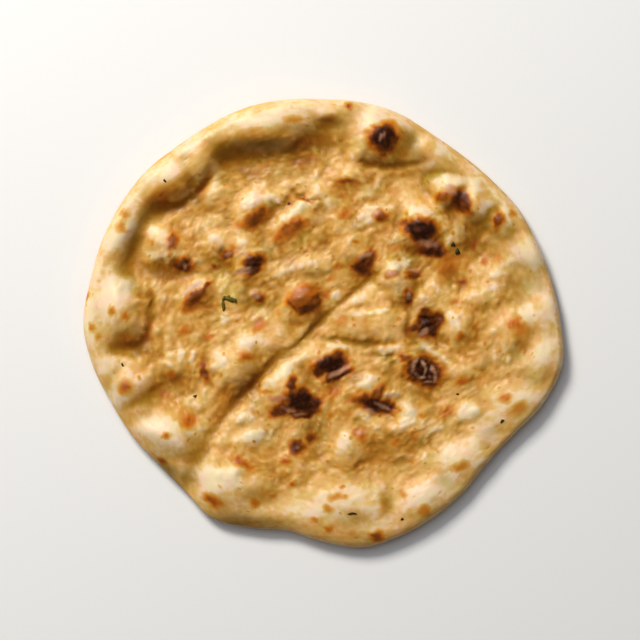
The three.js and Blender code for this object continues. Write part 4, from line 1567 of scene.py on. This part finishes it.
class NAAN_OT_herbs(bpy.types.Operator):
    """Scatter the coriander, the seeds and the specks of char"""

    bl_idname = "naan.herbs"
    bl_label = "Herbs and specks"

    def execute(self, context):
        settings = context.scene.naan_herbs
        leaf = herb_material("coriander_leaf", settings.leaf_colour, settings.leaf_dark)
        seed = herb_material("charred_seed", settings.seed_colour, settings.seed_dark)
        leaves = fleck_piece("coriander", (*LEAVES.values(), *LEAF_LOBES), leaf, FLECK_THICKNESS)
        seeds = fleck_piece("seeds", SEEDS.values(), seed, FLECK_THICKNESS)
        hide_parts("naan")
        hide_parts("naan")
        fleck_piece("specks", SPECKS, seed, SPECK_THICKNESS)
        return {"FINISHED"}


def add_floor(settings):
    bm = bmesh.new()
    bmesh.ops.create_grid(bm, x_segments=1, y_segments=1, size=FLOOR_HALF_SIDE)
    mesh = bpy.data.meshes.new("floor")
    bm.to_mesh(mesh)
    bm.free()
    mesh.transform(Matrix.Translation((0, 0, settings.floor_height)))
    floor = bpy.data.objects.new("floor", mesh)
    bpy.context.collection.objects.link(floor)
    material, nodes, _ = new_material("floor_paper")
    shader = nodes["Principled BSDF"]
    shader.inputs["Base Color"].default_value = (*settings.floor_colour, 1)
    shader.inputs["Roughness"].default_value = FLOOR_ROUGHNESS
    mesh.materials.append(material)


def add_light(name, bearing, height, distance, size, power, colour):
    """A square softbox that looks at the middle of the bread."""
    data = bpy.data.lights.new(name, "AREA")
    data.shape = "SQUARE"
    data.size = size
    data.energy = power
    data.color = colour
    light = bpy.data.objects.new(name, data)
    light.location = (
        distance * math.cos(height) * math.cos(bearing),
        distance * math.cos(height) * math.sin(bearing),
        distance * math.sin(height),
    )
    light.rotation_euler = (-light.location).to_track_quat("-Z", "Y").to_euler()
    bpy.context.collection.objects.link(light)


def add_camera(settings):
    data = bpy.data.cameras.new("camera")
    crust = FLOOR_THICKNESS * MM
    data.sensor_width = SENSOR_WIDTH
    data.lens = SENSOR_WIDTH * (settings.view_height - crust) / settings.view_width
    camera = bpy.data.objects.new("camera", data)
    camera.location = (*settings.view_centre, settings.view_height)
    bpy.context.collection.objects.link(camera)
    bpy.context.scene.camera = camera


class NAAN_OT_stage(bpy.types.Operator):
    """Lay the floor, light it and set the camera above it"""

    bl_idname = "naan.stage"
    bl_label = "Stage"

    def execute(self, context):
        settings = context.scene.naan_stage
        add_floor(settings)
        add_light(
            "key", settings.key_bearing, settings.key_height, settings.key_distance,
            settings.key_size, settings.key_power, settings.key_colour,
        )
        add_light(
            "window", settings.key_bearing, settings.window_height, settings.window_distance,
            settings.window_size, settings.window_power, settings.window_colour,
        )
        world = bpy.data.worlds.new("studio")
        world.use_nodes = True
        background = world.node_tree.nodes["Background"]
        background.inputs["Color"].default_value = (*settings.fill_colour, 1)
        background.inputs["Strength"].default_value = settings.fill
        context.scene.world = world
        context.scene.view_settings.view_transform = "Standard"
        add_camera(settings)
        return {"FINISHED"}


# --------------------------------------------------------------------------- panel and registering

class NAAN_PT_sidebar(bpy.types.Panel):
    """Builds the naan from the sidebar"""

    bl_label = "Round naan"
    bl_idname = "NAAN_PT_sidebar"
    bl_space_type = "VIEW_3D"
    bl_region_type = "UI"
    bl_category = "Naan"

    def draw(self, context):
        layout = self.layout
        for operator in OPERATORS:
            layout.operator(operator.bl_idname)
        for group, _ in SETTINGS:
            settings = getattr(context.scene, group)
            for name in settings.bl_rna.properties.keys():
                if name not in ("rna_type", "name"):
                    layout.prop(settings, name)


OPERATORS = (NAAN_OT_bread, NAAN_OT_herbs, NAAN_OT_stage)
SETTINGS = (
    ("naan_bread", NaanBreadSettings),
    ("naan_herbs", NaanHerbSettings),
    ("naan_stage", NaanStageSettings),
)


def register():
    for name, group in SETTINGS:
        bpy.utils.register_class(group)
        setattr(bpy.types.Scene, name, bpy.props.PointerProperty(type=group))
    for kind in (*OPERATORS, NAAN_PT_sidebar):
        bpy.utils.register_class(kind)


def unregister():
    for kind in reversed((*OPERATORS, NAAN_PT_sidebar)):
        bpy.utils.unregister_class(kind)
    for name, group in reversed(SETTINGS):
        delattr(bpy.types.Scene, name)
        bpy.utils.unregister_class(group)


def main():
    register()
    bpy.ops.naan.bread()
    bpy.ops.naan.herbs()
    bpy.ops.naan.stage()


if __name__ == "__main__":
    main()
